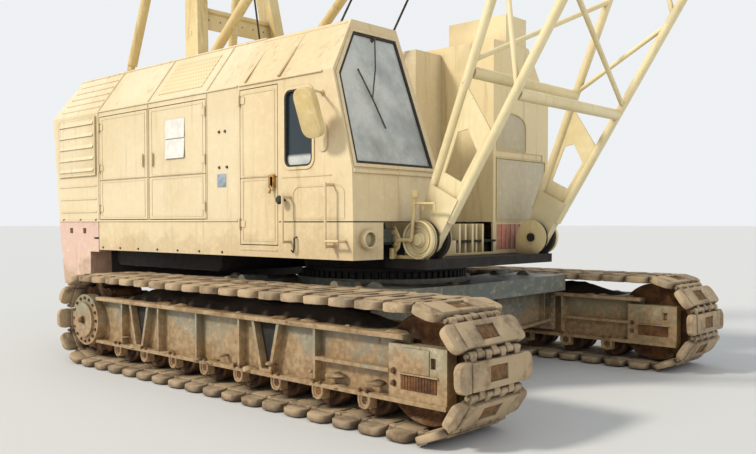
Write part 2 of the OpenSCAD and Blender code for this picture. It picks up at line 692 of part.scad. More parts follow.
// Bulkhead between the cab and the front block, and the nose beside the rope bay
nose_y = 100;
nose_x = 330;
module house_front() at_axis() color("#dcc79b") {
    difference() {
        box([cab_rear_x, -cab_inner_y + fit + 2, deck_z1 + fit], [cab_rear_x + 30, nose_y + 1, roof_z]);
        box([cab_rear_x - 1, -330, 1600], [cab_rear_x + 31, 60, roof_z + 1]);
    }
    box([cab_rear_x, nose_y, deck_z1 + fit], [nose_x, nose_y + 30, roof_z]);
    box([nose_x - 30, nose_y + 29, deck_z1 + fit], [nose_x, block_y - fit, roof_z]);
    box([cab_rear_x, nose_y + 29, roof_z - 30], [nose_x - 29, block_y - fit, roof_z]);
}
module block_outline(inset) {
    y0 = house_y - inset;
    top_y = roof_y - (block_top - roof_z) / tan(90 - chamfer_a);
    polygon([
        [block_y + inset, door_z0 - inset], [block_y + inset, block_top - inset],
        [top_y - inset * tan((90 - chamfer_a) / 2), block_top - inset],
        [y0, chamfer_z - inset * tan(chamfer_a / 2)], [y0, door_z0 - inset]
    ]);
}
module front_block() at_axis() color("#d9b978") difference() {
    slab_x(cab_rear_x, block_x) block_outline(0);
    slab_x(cab_rear_x - 1, block_x - wall_t) block_outline(wall_t);
    // Recess for the square panel and the arch over it
    box([block_x - 8, 545, 1440], [block_x + 1, 1390, 2110]);
    slab_x(block_x - 8, block_x + 1) {
        translate([560, 2130]) square([500, 240]);
        translate([810, 2370]) circle(d = 230);
        translate([690, 2369]) square([240, 100]);
    }
}
module grille() at_axis() color("#d98c78") {
    n = 9;
    y0 = grille_y0 + fit;
    w = grille_y1 - grille_y0 - 2 * fit;
    for (i = [0:n - 1])
        box([block_x - 20, y0 + i * (w - 26) / (n - 1), grille_z0 + fit],
            [block_x + 4, y0 + i * (w - 26) / (n - 1) + 26, grille_z1 - fit]);
    for (z = [grille_z0 + fit, (grille_z0 + grille_z1) / 2, grille_z1 - fit - 10])
        box([block_x - 18, y0, z], [block_x - 8, y0 + w, z + 10]);
}
module roof_box() at_axis() color("#d2b06c") {
    x0 = 260;
    difference() {
        box([x0, 720, block_top + fit], [block_x - 10, 1080, block_top + 280]);
        box([x0 + 30, 750, block_top], [block_x - 40, 1050, block_top + 250]);
        for (i = [0:5])
            box([x0 + 80 + i * 95, 780, block_top + 200], [x0 + 130 + i * 95, 1020, block_top + 281]);
    }
}
module engine() at_axis() color("#5d6257") {
    // Engine on its bed, with the radiator and the exhaust
    top_z = roof_z - 800;
    box([bed_x0, -bed_y, deck_z1 + fit], [bed_x1, bed_y, deck_z1 + 120]);
    box([bed_x0 + 70, -360, deck_z1 + 118], [bed_x1 - 100, 360, top_z]);
    box([bed_x0 - 230, -620, deck_z1 + 200], [bed_x0 - 40, 620, top_z + 150]);
    box([bed_x0 - 42, -300, 1500], [bed_x0 + 72, 300, 1900]);
    translate([-2600, -200, top_z - 2]) cylinder(h = roof_z - wall_t - top_z - 20, d = 140);
}
module winches() at_axis() color("#6a6a5c")
    for (d = [[-1100, 1740, 520, 900], [-1640, 1660, 420, 700]]) {
        // Drum with two flanges, on two stands
        rod_y(d[0], d[1], -d[3] / 2, d[3] / 2, d[2] * 0.72);
        for (s = [-1, 1]) {
            rod_y(d[0], d[1], s * d[3] / 2 - 18, s * d[3] / 2 + 18, d[2]);
            slab_y(s * (d[3] / 2 + 60), 50) polygon([
                [d[0] - 240, deck_z1 + 20 + fit], [d[0] + 240, deck_z1 + 20 + fit],
                [d[0] + 90, d[1] + 80], [d[0] - 90, d[1] + 80]
            ]);
            rod_y(d[0], d[1], s > 0 ? d[3] / 2 : -d[3] / 2 - 36,
                s > 0 ? d[3] / 2 + 36 : -d[3] / 2, 120);
        }
    }

// Cab: section across and profile along, set in from the outside
module cab_section(inset) {
    y0 = house_y - inset;
    polygon([
        [-y0, door_z0 + inset], [-y0, chamfer_z - inset * tan(chamfer_a / 2)],
        [-roof_y + inset * tan((90 - chamfer_a) / 2), roof_z - inset],
        [-600 - 0.87 * inset, roof_z - inset], [-cab_inner_y - inset, 1830],
        [-cab_inner_y - inset, door_z0 + inset]
    ]);
}
module cab_profile(inset) {
    polygon([
        [cab_rear_x + inset, door_z0 + inset], [cab_front_x - inset, door_z0 + inset],
        [cab_front_x - 10 - inset, 1830], [690 - 0.77 * inset, roof_z - inset],
        [cab_rear_x + inset, roof_z - inset]
    ]);
}
module cab_solid(inset) intersection() {
    slab_x(cab_rear_x - 1, cab_front_x + 1) cab_section(inset);
    slab_y(-house_y / 2, house_w) cab_profile(inset);
}
// Outline of the windscreen seen from the front, shrunk by g
module screen_outline(g) {
    polygon([
        [-1440 + g, 1880 + g], [-1440 + g, 2600], [-1175 + g, 2985 - g],
        [-655 - g, 2985 - g], [-500 - g, 1880 + g]
    ]);
}
// Window with rounded corners in an X-Z drawing, given as [x0, z0, x1, z1] and shrunk by g
module window(w, g) {
    r = 60 - g;
    translate([w[0] + 60, w[1] + g]) square([w[2] - w[0] - 120, w[3] - w[1] - 2 * g]);
    translate([w[0] + g, w[1] + 60]) square([w[2] - w[0] - 2 * g, w[3] - w[1] - 120]);
    for (x = [w[0] + 60, w[2] - 60], z = [w[1] + 60, w[3] - 60]) translate([x, z]) circle(r, $fn = 24);
}
side_window = [243, 1878, 576, 2510];
inner_window = [-250, 1950, 560, 2850];
module cab_shell() at_axis() color("#ecdab0") difference() {
    cab_solid(0);
    cab_solid(wall_t);
    slab_x(560, cab_front_x + 1) screen_outline(0);
    slab_y(-house_y, 2 * wall_t + 4) window(side_window, 0);
    slab_y(-520, 240) window(inner_window, 0);
    box([entry_x0 - door_gap, -house_y - 1, door_z0 - 1],
        [entry_x1 + door_gap, -house_y + wall_t + 1, entry_z1 + door_gap]);
}
module cab_panes() at_axis() color("#7d8f94") {
    intersection() {
        slab_x(600, cab_front_x) screen_outline(fit);
        slab_y(-970, 1000) polygon([
            [1030 - 18, 1830], [1030 - 10, 1830], [690 - 10, roof_z], [690 - 18, roof_z]
        ]);
    }
    slab_y(-house_y + 20, 6) window(side_window, fit);
    intersection() {
        slab_y(-520, 240) window(inner_window, fit);
        slab_x(-400, 700) polygon([
            [-cab_inner_y - 15, 1830], [-cab_inner_y - 22, 1830], [-600 - 22, roof_z], [-600 - 15, roof_z]
        ]);
    }
}
module cab_door() at_axis() color("#ecd9ae") {
    difference() {
        box([entry_x0, -house_y, entry_z0], [entry_x1, -house_y + wall_t, entry_z1]);
        // Pressed line at half height
        box([entry_x0 - 1, -house_y - 1, 1796], [entry_x1 + 1, -house_y + 6, 1806]);
        box([entry_x0 - 1, -house_y + 20 - fit, entry_z0 - 1],
            [entry_x1 + 1, -house_y + wall_t + 1, door_z0 + 4]);
    }
    // Handle and hinges
    translate([entry_x1 - 60, -house_y - 30, 1690]) cube([28, 31, 110]);
    hinges(entry_x0 - door_gap / 2, 1, [1400, 2490]);
}
module seat() at_axis() color("#3c3a37") {
    floor_z = door_z0 + wall_t + fit;
    box([-140, -1130, floor_z], [180, -810, floor_z + 300]);
    box([-210, -1210, floor_z + 298], [280, -730, floor_z + 420]);
    box([-270, -1200, floor_z + 410], [-150, -740, floor_z + 980]);
    for (y = [-1180, -790]) box([520, y, floor_z], [610, y + 60, floor_z + 520]);
    box([500, -1180, floor_z + 518], [700, -730, floor_z + 570]);
}
module levers() at_axis() color("#b8a87c") {
    // Valve block with three levers in the open bay
    box([820, -1130, deck_z1 + fit], [1000, -950, deck_z1 + 110]);
    for (i = [0:2])
        beam([860 + i * 50, -1030, deck_z1 + 70], [875 + i * 50, -1075, door_z0 - 14], 18, 10);
}
module handrails() at_axis() color("#d9c594") {
    // Two rails and a step on the right side, and the mirror with its arm
    for (r = [[310, 1235, 1637], [822, 1205, 1726]]) {
        bar([r[0], -house_y - 90, r[1]], [r[0], -house_y - 90, r[2]], 22);
        for (z = [r[1] + 15, r[2] - 15]) bar([r[0], -house_y - fit, z], [r[0], -house_y - 95, z], 22);
    }
    for (x = [822, 964]) bar([x, -house_y - fit, 1262], [x, -house_y - 95, 1262], 22);
    bar([814, -house_y - 90, 1262], [972, -house_y - 90, 1262], 22);
    bar([700, -house_y - fit, 2450], [700, -house_y - 20, 2450], 40);
    bar([700, -house_y - 12, 2450], [760, -house_y - 200, 2450], 20);
    bar([760, -house_y - 200, 2455], [760, -house_y - 200, 2250], 20);
    translate([760, -house_y - 200, 2265]) rotate([0, 90, 0]) rotate([0, 0, 20])
        translate([-165, -10, -90]) cube([330, 24, 180]);
}

// Gantry
post_foot = [post_x + (post_z0 - roof_z - 110) * tan(post_lean), post_y + 9, roof_z + 110];
post_top_y = post_y - (gantry_z - post_z0) * tan(post_in);
head_shaft_d = 90;
module gantry_posts() at_axis() color("#e2cb92") {
    for (s = [-1, 1]) difference() {
        a = [post_foot[0], s * post_foot[1], post_foot[2]];
        b = [gantry_x, s * post_top_y, gantry_z];
        u = (b - a) / norm(b - a);
        beam(a - 62 * u, b + 90 * u, 240, 140);
        rod_y(a[0], a[2], s > 0 ? 0 : -900, s > 0 ? 900 : 0, 50 + 2 * pin_fit);
        rod_y(b[0], b[2], s > 0 ? 0 : -900, s > 0 ? 900 : 0, head_shaft_d + 2 * fit);
    }
    // Cross plate with a tube on it, and a second tube higher up
    for (c = [[3740, 24, 220], [5150, 90, 90]])
        translate([post_x - (c[0] - post_z0) * tan(post_lean), 0, c[0]]) rotate([0, -post_lean, 0])
            translate([-c[1] / 2, -post_y + 105 + (c[0] - 3740) * tan(post_in), -c[2] / 2])
                cube([c[1], 2 * (post_y - 105 - (c[0] - 3740) * tan(post_in)), c[2]]);
    rod_y(post_x - 550 * tan(post_lean), 3850, -520, 520, 70);
}
module gantry_legs() at_axis() color("#e2cb92") for (s = [-1, 1]) {
    a = [leg_x, s * leg_y, roof_z + 110];
    b = [gantry_x, s * leg_top_y, gantry_z];
    u = (b - a) / norm(b - a);
    tilt = atan2(gantry_z - roof_z - 110, gantry_x - leg_x);
    bar(a + 110 * u, b - 130 * u, leg_d);
    for (e = [[a, 0, 52, 50 + 2 * pin_fit], [b, 180, 50, head_shaft_d + 2 * fit]])
        translate(e[0]) rotate([0, -tilt, 0]) slab_y(0, e[2]) difference() {
            union() {
                circle(e[1] == 0 ? 62 : 78);
                translate([e[1] == 0 ? 0 : -190, -45]) square([190, 90]);
            }
            circle(d = e[3]);
        }
}
module rope_sheave(r, w) rotate([-90, 0, 0]) rotate_extrude()
    polygon([
        [0, -w / 2], [r, -w / 2], [r, -w / 2 + 6], [r - 30, -15],
        [r - 30, 15], [r, w / 2 - 6], [r, w / 2], [0, w / 2]
    ]);
module gantry_head() at_axis() color("#6b6350") {
    rod_y(gantry_x, gantry_z, -530, 530, head_shaft_d);
    for (y = [-190, -100, 100, 190]) translate([gantry_x, y, gantry_z]) rope_sheave(210, 60);
}

// Backstop struts: a tube hinged on the roof and a rod that slides in it up to the boom
tube_end = 6180;
rod_start = 4050;
module at_strut() translate([strut_x, 0, strut_z]) rotate([0, -strut_a, 0]) children();
module strut_tubes() at_axis() color("#d8c48e") at_strut() for (y = [-strut_y, strut_y]) difference() {
    union() {
        bar([110, y, 0], [tube_end, y, 0], strut_d);
        bar([tube_end - 120, y, 0], [tube_end, y, 0], strut_d + 30);
        slab_y(y, 54) {
            circle(62);
            translate([0, -45]) square([180, 90]);
        }
    }
    rod_y(0, 0, y - 60, y + 60, 50 + 2 * pin_fit);
    bar([rod_start - 1000, y, 0], [tube_end + 1, y, 0], strut_rod_d + 2);
}
module strut_rods() at_axis() color("#8c8262") at_strut() for (y = [-strut_y, strut_y]) {
    bar([rod_start, y, 0], [strut_len - 320, y, 0], strut_rod_d);
    slab_y(y, 40) difference() {
        union() {
            translate([strut_len, 0]) circle(75);
            translate([strut_len - 360, -38]) square([360, 76]);
        }
        translate([strut_len, 0]) circle(d = 66);
    }
}

// Stays: rope falls from the gantry head, and the bridle with the pendants to the boom head
module at_stay() translate([gantry_x, 0, gantry_z]) rotate([0, -stay_a, 0]) children();
module luff_falls() at_axis() color("#4d4a43") at_stay() {
    difference() {
        union() {
            rod_y(0, 0, -50, 50, 150);
            slab_y(0, 50) polygon([[0, -75], [290, -30], [290, 30], [0, 75]]);
        }
        rod_y(0, 0, -60, 60, head_shaft_d + 2 * pin_fit);
    }
    rod_y(290, 0, -215, 215, 60);
    for (y = [-190, -100, 100, 190]) bar([290, y, 0], [falls_len, y, 0], rope_d);
}
module bridle() at_axis() color("#55503f") at_stay() {
    rod_y(bridle_at, 0, -stay_y - 30, stay_y + 30, 80);
    for (y = [-175, 175]) slab_y(y, 24) translate([bridle_at, 0]) circle(95);
    for (y = [-145, -55, 55, 145]) bar([bridle_at - falls_back, y, 0], [bridle_at, y, 0], rope_d);
    for (y = [-stay_y, stay_y]) {
        bar([bridle_at, y, 0], [stay_len - 50, y, 0], 30);
        slab_y(y, 30) difference() {
            union() {
                translate([stay_len, 0]) circle(62);
                translate([stay_len - 120, -35]) square([120, 70]);
            }
            translate([stay_len, 0]) circle(d = 60);
        }
    }
}

// Boom, drawn along X with its rear side up
module in_boom() translate([foot_x, 0, foot_z]) rotate([0, -luff, 0]) children();
sleeve_d = 112;
// The two chords of a side, from s0 past a bend at s1 to s2, with a collar over the bend
module chords(left, s0, s1, s2) for (rear = [false, true]) {
    a = chord_at(s0, rear, left);
    b = chord_at(s1, rear, left);
    u = (b - a) / norm(b - a);
    bar(a, b + 3 * u, chord_d);
    bar(b, chord_at(s2, rear, left), chord_d);
    bar(b - 32 * u, b + 32 * u, chord_d + 14);
}
// Room for the chords in the lacing of the front and rear faces
module chord_room(left, s0, s1, s2) for (rear = [false, true]) {
    a = chord_at(s0, rear, left);
    b = chord_at(s1, rear, left);
    c = chord_at(s2, rear, left);
    bar(a, b + 25 * (b - a) / norm(b - a), chord_d + 2 * fit);
    bar(b - 25 * (c - b) / norm(c - b), c + 25 * (c - b) / norm(c - b), chord_d + 2 * fit);
}
module sleeve(left, s0, s1) for (rear = [false, true])
    bar(chord_at(s0, rear, left), chord_at(s1, rear, left), sleeve_d);
// Lacing of a side: zigzag between the front and the rear chord
module side_lacing(left, st) for (i = [0:len(st) - 2])
    bar(chord_at(st[i] + 34, (i % 2 == 1) != left, left),
        chord_at(st[i + 1] - 34, (i % 2 == 0) != left, left), lace_d);
// Lacing of the front or the rear face: zigzag between the right and the left chord, with its
// ends side by side on the chord and clear of the cross tubes by g0 and g1
module face_lacing(rear, st, g0, g1) {
    last = len(st) - 2;
    for (i = [0:last])
        bar(chord_at(st[i] + (i == 0 ? g0 : 34), rear, (i % 2 == 1) == rear),
            chord_at(st[i + 1] - (i == last ? g1 : 34), rear, (i % 2 == 0) == rear), lace_d);
}
module cross_tube(s, rear, d) {
    z = rear ? depth(s) : -depth(s);
    bar([s, -half_w(s) + 27, z], [s, half_w(s) - 27, z], d);
}
module boom_root_side(left) at_axis() in_boom() color("#e5d28d") {
    y = left ? chord_y : -chord_y;
    chords(left, 230, full_s, root_len - fit);
    sleeve(left, root_len - 100, root_len - fit);
    side_lacing(left, root_stations);
    bar(chord_at(root_lace_end + 30, false, left), chord_at(root_lace_end + 30, true, left), lace_d);
    // Foot with its eye, and the web plate with a cut-out
    slab_y(y, foot_t) difference() {
        union() {
            circle(115);
            polygon([[0, -115], [430, -depth(430)], [430, depth(430)], [0, 115]]);
        }
        circle(d = foot_pin_d + 2 * pin_fit);
    }
    slab_y(y, 16) difference() {
        polygon([[400, -depth(400)], [1010, -depth(1010)], [1270, depth(1270)], [400, depth(400)]]);
        polygon([[560, -90], [840, -120], [960, 40], [900, 120], [560, 95]]);
    }
}
module boom_root_face(rear) at_axis() in_boom() color("#e5d28d") difference() {
    union() {
        face_lacing(rear, root_stations, 90, 75);
        cross_tube(lace_s0, rear, cross_d);
        cross_tube(root_lace_end, rear, 60);
    }
    for (left = [false, true]) chord_room(left, 600, full_s, root_len - 110);
}
module boom_top_side(left) at_axis() in_boom() color("#e5d28d") {
    difference() {
        chords(left, root_len, tip_taper_s, tip_s + 10);
        box([tip_s, -chord_y, -chord_h], [tip_s + 30, chord_y, chord_h]);
    }
    sleeve(left, root_len, root_len + 100);
    side_lacing(left, top_stations);
    for (s = [top_s0 - 10, anchor_s - 60]) bar(chord_at(s, false, left), chord_at(s, true, left), lace_d);
}
module boom_top_face(rear) at_axis() in_boom() color("#e5d28d") {
    difference() {
        union() {
            face_lacing(rear, top_stations, 75, 140);
            cross_tube(top_s0, rear, 60);
            cross_tube(anchor_s, rear, 60);
            cross_tube(tip_s - 60, rear, 60);
        }
        for (left = [false, true]) chord_room(left, root_len + 110, tip_taper_s, tip_s);
    }
    // Lugs for the backstop struts
    if (rear) {
        for (s = [-1, 1]) {
            slab_y(s * 450, 20) {
                polygon([
                    [top_s0 - 25, chord_h], [anchor_s + 25, chord_h],
                    [strut_s + 62, strut_h], [strut_s - 62, strut_h]
                ]);
                translate([strut_s, strut_h]) circle(62);
            }
            rod_y(strut_s, strut_h, s > 0 ? 400 : -558, s > 0 ? 558 : -400, 64);
            rod_y(strut_s, strut_h, s > 0 ? 536 : -558, s > 0 ? 558 : -536, 140);
        }
        rod_y(strut_s, strut_h, -440, 440, 64);
    }
}
module boom_tip() at_axis() in_boom() color("#d9c381") {
    for (s = [-1, 1]) {
        slab_y(s * tip_y, 30) {
            polygon([
                [tip_s + fit, -tip_h - 45], [tip_s + fit, tip_h + 45],
                [stay_s - 75, stay_h], [stay_s + 75, stay_h], [stay_s + 160, 190],
                [boom_len + 60, 130], [boom_len + 60, -130]
            ]);
            translate([boom_len, 0]) circle(145);
            translate([stay_s, stay_h]) circle(75);
        }
        rod_y(stay_s, stay_h, s > 0 ? 513 : -535, s > 0 ? 535 : -513, 130);
    }
    rod_y(stay_s, stay_h, -535, 535, 64);
    for (z = [-tip_h, tip_h]) rod_y(tip_s + 60, z, -tip_y, tip_y, 70);
    rod_y(boom_len, 0, -tip_y - 40, tip_y + 40, 100);
    for (y = [-150, -50, 50, 150]) translate([boom_len, y, 0]) rope_sheave(sheave_d / 2, 70);
}

// Hook block, hanging plumb from the head shaft, drawn from that shaft
hook_sheave_z = -1330;
trunnion_z = -1600;
module at_head() translate([head[0], 0, head[1]]) children();
module hook_block() at_axis() at_head() color("#9b8a4f") {
    hang = [fall_x, -335];
    for (y = [-212, 212]) slab_y(y, 24) difference() {
        union() {
            circle(82);
            translate(hang) circle(48);
            polygon([[-40, -70], [hang[0] - 40, hang[1] - 25], [hang[0] + 40, hang[1] + 25], [70, 40]]);
        }
        circle(d = 100 + 2 * pin_fit);
    }
    rod_y(hang[0], hang[1], -223, 223, 62);
    for (y = [-150, -50, 50, 150]) bar([fall_x, y, hook_sheave_z + 205], [fall_x, y, -20], rope_d);
    // Head plate, cheeks, sheaves and the trunnion with the bore for the hook
    box([fall_x - 60, -223, hook_sheave_z + 170], [fall_x + 60, 223, hook_sheave_z + 215]);
    for (y = [-212, 212]) slab_y(y, 24) translate([fall_x, 0]) {
        translate([0, hook_sheave_z]) circle(block_r);
        translate([-75, trunnion_z - 55]) square([150, hook_sheave_z - trunnion_z + 260]);
    }
    rod_y(fall_x, hook_sheave_z, -240, 240, 70);
    for (y = [-150, -50, 50, 150]) translate([fall_x, y, hook_sheave_z]) rope_sheave(140, 60);
    difference() {
        box([fall_x - 75, -223, trunnion_z - 55], [fall_x + 75, 223, trunnion_z + 45]);
        translate([fall_x, 0, trunnion_z - 60]) cylinder(h = 120, d = 80 + 2 * pin_fit);
    }
}
module hook() at_axis() at_head() color("#50504a") translate([fall_x, 0, trunnion_z]) {
    translate([0, 0, -160]) cylinder(h = 205 + 5, d = 80);
    translate([0, 0, 45 + 5]) cylinder(h = 40, d = 130);
    translate([0, 0, -62 - 45]) cylinder(h = 45 + 2, d = 120);
    slab_y(0, 70) difference() {
        union() {
            translate([0, -260]) circle(145);
            translate([-45, -180]) square([90, 75]);
        }
        translate([0, -260]) circle(78);
        polygon([[20, -260], [160, -205], [160, -110], [62, -120], [20, -200]]);
    }
}

car_body();
tow_eyes();
slew_ring();
side_frame(false);  // side_frame_r
side_frame(true);  // side_frame_l
track(false);  // track_r
track(true);  // track_l
rollers(false);  // rollers_r
rollers(true);  // rollers_l
idlers();
drive_wheels();
final_drives();
turntable();
skirts();
counterweight();
house_side(false);  // house_r
house_side(true);  // house_l
house_rear();
louvres();
roof();
house_front();
front_block();
grille();
roof_box();
engine();
winches();
cab_shell();
cab_panes();
seat();
levers();
handrails();
side_door(false, 0);  // side_door_r1
side_door(false, 1);  // side_door_r2
side_door(true, 0);  // side_door_l1
side_door(true, 1);  // side_door_l2
cab_door();
gantry_posts();
gantry_legs();
gantry_head();
strut_tubes();
strut_rods();
luff_falls();
bridle();
boom_root_side(false);  // boom_root_r
boom_root_side(true);  // boom_root_l
boom_root_face(false);  // boom_root_front
boom_root_face(true);  // boom_root_rear
boom_top_side(false);  // boom_top_r
boom_top_side(true);  // boom_top_l
boom_top_face(false);  // boom_top_front
boom_top_face(true);  // boom_top_rear
boom_tip();
hook_block();
hook();
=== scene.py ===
"""Looks of the crawler crane: materials, light, camera and fine pieces. Metres, row frame."""

import random
from itertools import product
from math import atan2, cos, degrees, pi, radians, sin

import bmesh
import bpy
from mathutils import Matrix, Vector, noise


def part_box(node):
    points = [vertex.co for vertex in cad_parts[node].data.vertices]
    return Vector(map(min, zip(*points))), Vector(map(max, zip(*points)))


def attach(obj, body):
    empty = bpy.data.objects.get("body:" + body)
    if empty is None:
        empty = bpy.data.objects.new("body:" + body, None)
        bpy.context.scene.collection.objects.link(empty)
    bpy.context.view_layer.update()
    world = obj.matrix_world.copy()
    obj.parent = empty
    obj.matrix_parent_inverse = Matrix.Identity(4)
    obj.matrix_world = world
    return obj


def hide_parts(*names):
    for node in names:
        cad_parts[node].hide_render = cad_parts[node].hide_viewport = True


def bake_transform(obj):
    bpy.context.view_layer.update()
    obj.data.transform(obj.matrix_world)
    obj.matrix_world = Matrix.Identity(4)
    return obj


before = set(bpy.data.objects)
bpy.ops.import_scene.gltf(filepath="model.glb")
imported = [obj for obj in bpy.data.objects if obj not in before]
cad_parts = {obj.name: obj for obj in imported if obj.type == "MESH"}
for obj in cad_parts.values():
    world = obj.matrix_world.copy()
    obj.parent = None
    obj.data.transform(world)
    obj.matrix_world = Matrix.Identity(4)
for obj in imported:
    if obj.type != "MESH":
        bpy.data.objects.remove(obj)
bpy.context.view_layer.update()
random.seed(7)
noise.seed_set(7)

# The slewing axis is the middle of the slewing ring. Places along X are written from it.
AXIS_X = sum(corner.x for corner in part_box("slew_ring")) / 2

# Undercarriage, in metres as in the CAD source
FRAME_Y = 1.75
FRAME_TOP = 0.68
ROLLERS = 8
ROLLER_X = -1.5446
ROLLER_PITCH = 0.46
DRIVE = (-2.125, 0.45)
GIRDER_X = 0.8

# House and cab
SIDE_Y = 1.5
ROOF_Y = 1.16
DOOR_Z0 = 1.42
CHAMFER_Z = 2.63
ROOF_Z = 3.1
REAR_X = -2.89
HOUSE_REAR = -3.95
SEAM_X = -1.88
FRONT_SEAM_X = -0.87
CAB_REAR_X = -0.4
BLOCK_X = 0.97
FLOOR_Z = 1.4603
ENTRY = (-0.365, 0.14, 1.22, 2.58)
LAMP = (-1.35, 1.275)

# The panes lean back by these runs over one rise, from the sill up
SILL = (1.03, 1.83)
RISE = 1.27
SCREEN_RUN = 0.34
SIDE_RUN = 0.18
SCREEN = [(-1.44, 1.88), (-1.44, 2.60), (-1.175, 2.985), (-0.655, 2.985), (-0.50, 1.88)]
SCREEN_NORMAL = Vector((RISE, 0, SCREEN_RUN)).normalized()

# Boom and gantry
LUFF = radians(63)
FOOT = (1.25, 1.27)
CHORD = (0.83, 0.5)
SPLICE_S = 6.9
GANTRY = (-2.7335, 6.1)
SHEAVE_R = 0.19

BOTH = (-1, 1)
ALONG, ACROSS, UP, TO_RIGHT = (1, 0, 0), (0, 1, 0), (0, 0, 1), (0, -1, 0)


def at(x, y, z):
    """A point given from the slewing axis."""
    return Vector((x + AXIS_X, y, z))


def upright(outline, y):
    """Points of an X-Z outline at one y, given from the slewing axis."""
    return [at(x, y, z) for x, z in outline]


def from_axis(outline):
    """The same outline, given from the frame's origin."""
    return [(x + AXIS_X, z) for x, z in outline]


def on_boom(s, y, h):
    """A point s along the boom, h towards its rear side."""
    c, n = cos(LUFF), sin(LUFF)
    return at(FOOT[0] + s * c - h * n, y, FOOT[1] + s * n + h * c)


def pane_point(y, z, out=0.0):
    """A point of the windscreen's plane, or in front of it."""
    return at(SILL[0] - (z - SILL[1]) * SCREEN_RUN / RISE, y, z) + SCREEN_NORMAL * out


def arc(u, v, radius, start, turn, steps):
    """Points of a circle about (u, v), angles in degrees. A full turn doesn't repeat its first point."""
    count = steps if turn == 360 else steps + 1
    angles = [radians(start + turn * k / steps) for k in range(count)]
    return [(u + radius * cos(a), v + radius * sin(a)) for a in angles]


def rect(u0, v0, u1, v1):
    return [(u0, v0), (u1, v0), (u1, v1), (u0, v1)]


def rounded(u0, v0, u1, v1, r):
    """Outline of a rectangle with rounded corners."""
    corners = ((u1 - r, v1 - r, 0), (u0 + r, v1 - r, 90), (u0 + r, v0 + r, 180), (u1 - r, v0 + r, 270))
    return [p for u, v, start in corners for p in arc(u, v, r, start, 90, 5)]


def rgb(code):
    """Linear colour of a hex code."""
    parts = [int(code[i : i + 2], 16) / 255 for i in (1, 3, 5)]
    return tuple(c / 12.92 if c <= 0.04045 else ((c + 0.055) / 1.055) ** 2.4 for c in parts) + (1.0,)


# Materials


class Nodes:
    """Makes and links the nodes of one tree."""

    def __init__(self, tree):
        self.tree = tree

    def make(self, kind, inputs, **settings):
        node = self.tree.nodes.new("ShaderNode" + kind)
        for key, value in settings.items():
            setattr(node, key, value)
        for key, value in inputs.items():
            self.put(node.inputs[key], value)
        return node

    def put(self, socket, value):
        """Gives a socket another node's output, a hex colour or a plain value."""
        if isinstance(value, bpy.types.NodeSocket):
            self.tree.links.new(value, socket)
        else:
            socket.default_value = rgb(value) if isinstance(value, str) else value

    def maths(self, how, a, b):
        return self.make("Math", {0: a, 1: b}, operation=how).outputs[0]


class Shader(Nodes):
    """A node material with the few building blocks that the paints share."""

    def __init__(self, name):
        self.mat = bpy.data.materials.new(name)
        self.mat.use_nodes = True
        super().__init__(self.mat.node_tree)
        self.bsdf = self.tree.nodes["Principled BSDF"]
        self.place = self.make("TexCoord", {}).outputs["Object"]

    def noise(self, scale, detail=4.0, rough=0.55, stretch=None):
        place = self.place
        if stretch:
            place = self.make("Mapping", {"Vector": place, "Scale": stretch}).outputs[0]
        inputs = {"Vector": place, "Scale": scale, "Detail": detail, "Roughness": rough}
        return self.make("TexNoise", inputs).outputs["Fac"]

    def step(self, value, low, high, top=1.0):
        """0 below low, top above high, smooth in between."""
        inputs = {"Value": value, "From Min": low, "From Max": high, "To Max": top}
        return self.make("MapRange", inputs, interpolation_type="SMOOTHSTEP").outputs["Result"]

    def add(self, a, b):
        return self.maths("ADD", a, b)

    def times(self, a, b):
        return self.maths("MULTIPLY", a, b)

    def mix(self, share, a, b):
        return self.make("Mix", {"Factor": share, "A": a, "B": b}, data_type="RGBA").outputs["Result"]

    def mottle(self, scale, detail, low, high, a, b, rough=0.55):
        """Colour a with patches of colour b."""
        return self.mix(self.step(self.noise(scale, detail, rough), low, high), a, b)

    def axes(self):
        """X, Y and Z of the place on the object."""
        return self.make("SeparateXYZ", {0: self.place}).outputs

    def corners(self, reach):
        """Ambient occlusion mask for painted shade: 1 deep in corners, 0 on open surfaces."""
        node = self.make("AmbientOcclusion", {"Distance": reach}, samples=4, only_local=False)
        return self.step(node.outputs["AO"], 0.95, 0.35)

    def bump(self, height, strength, distance):
        node = self.make("Bump", {"Strength": strength, "Distance": distance, "Height": height})
        self.put(self.bsdf.inputs["Normal"], node.outputs[0])

    def finish(self, colour, rough, metal=0.0):
        for key, value in (("Base Color", colour), ("Roughness", rough), ("Metallic", metal)):
            self.put(self.bsdf.inputs[key], value)
        return self.mat


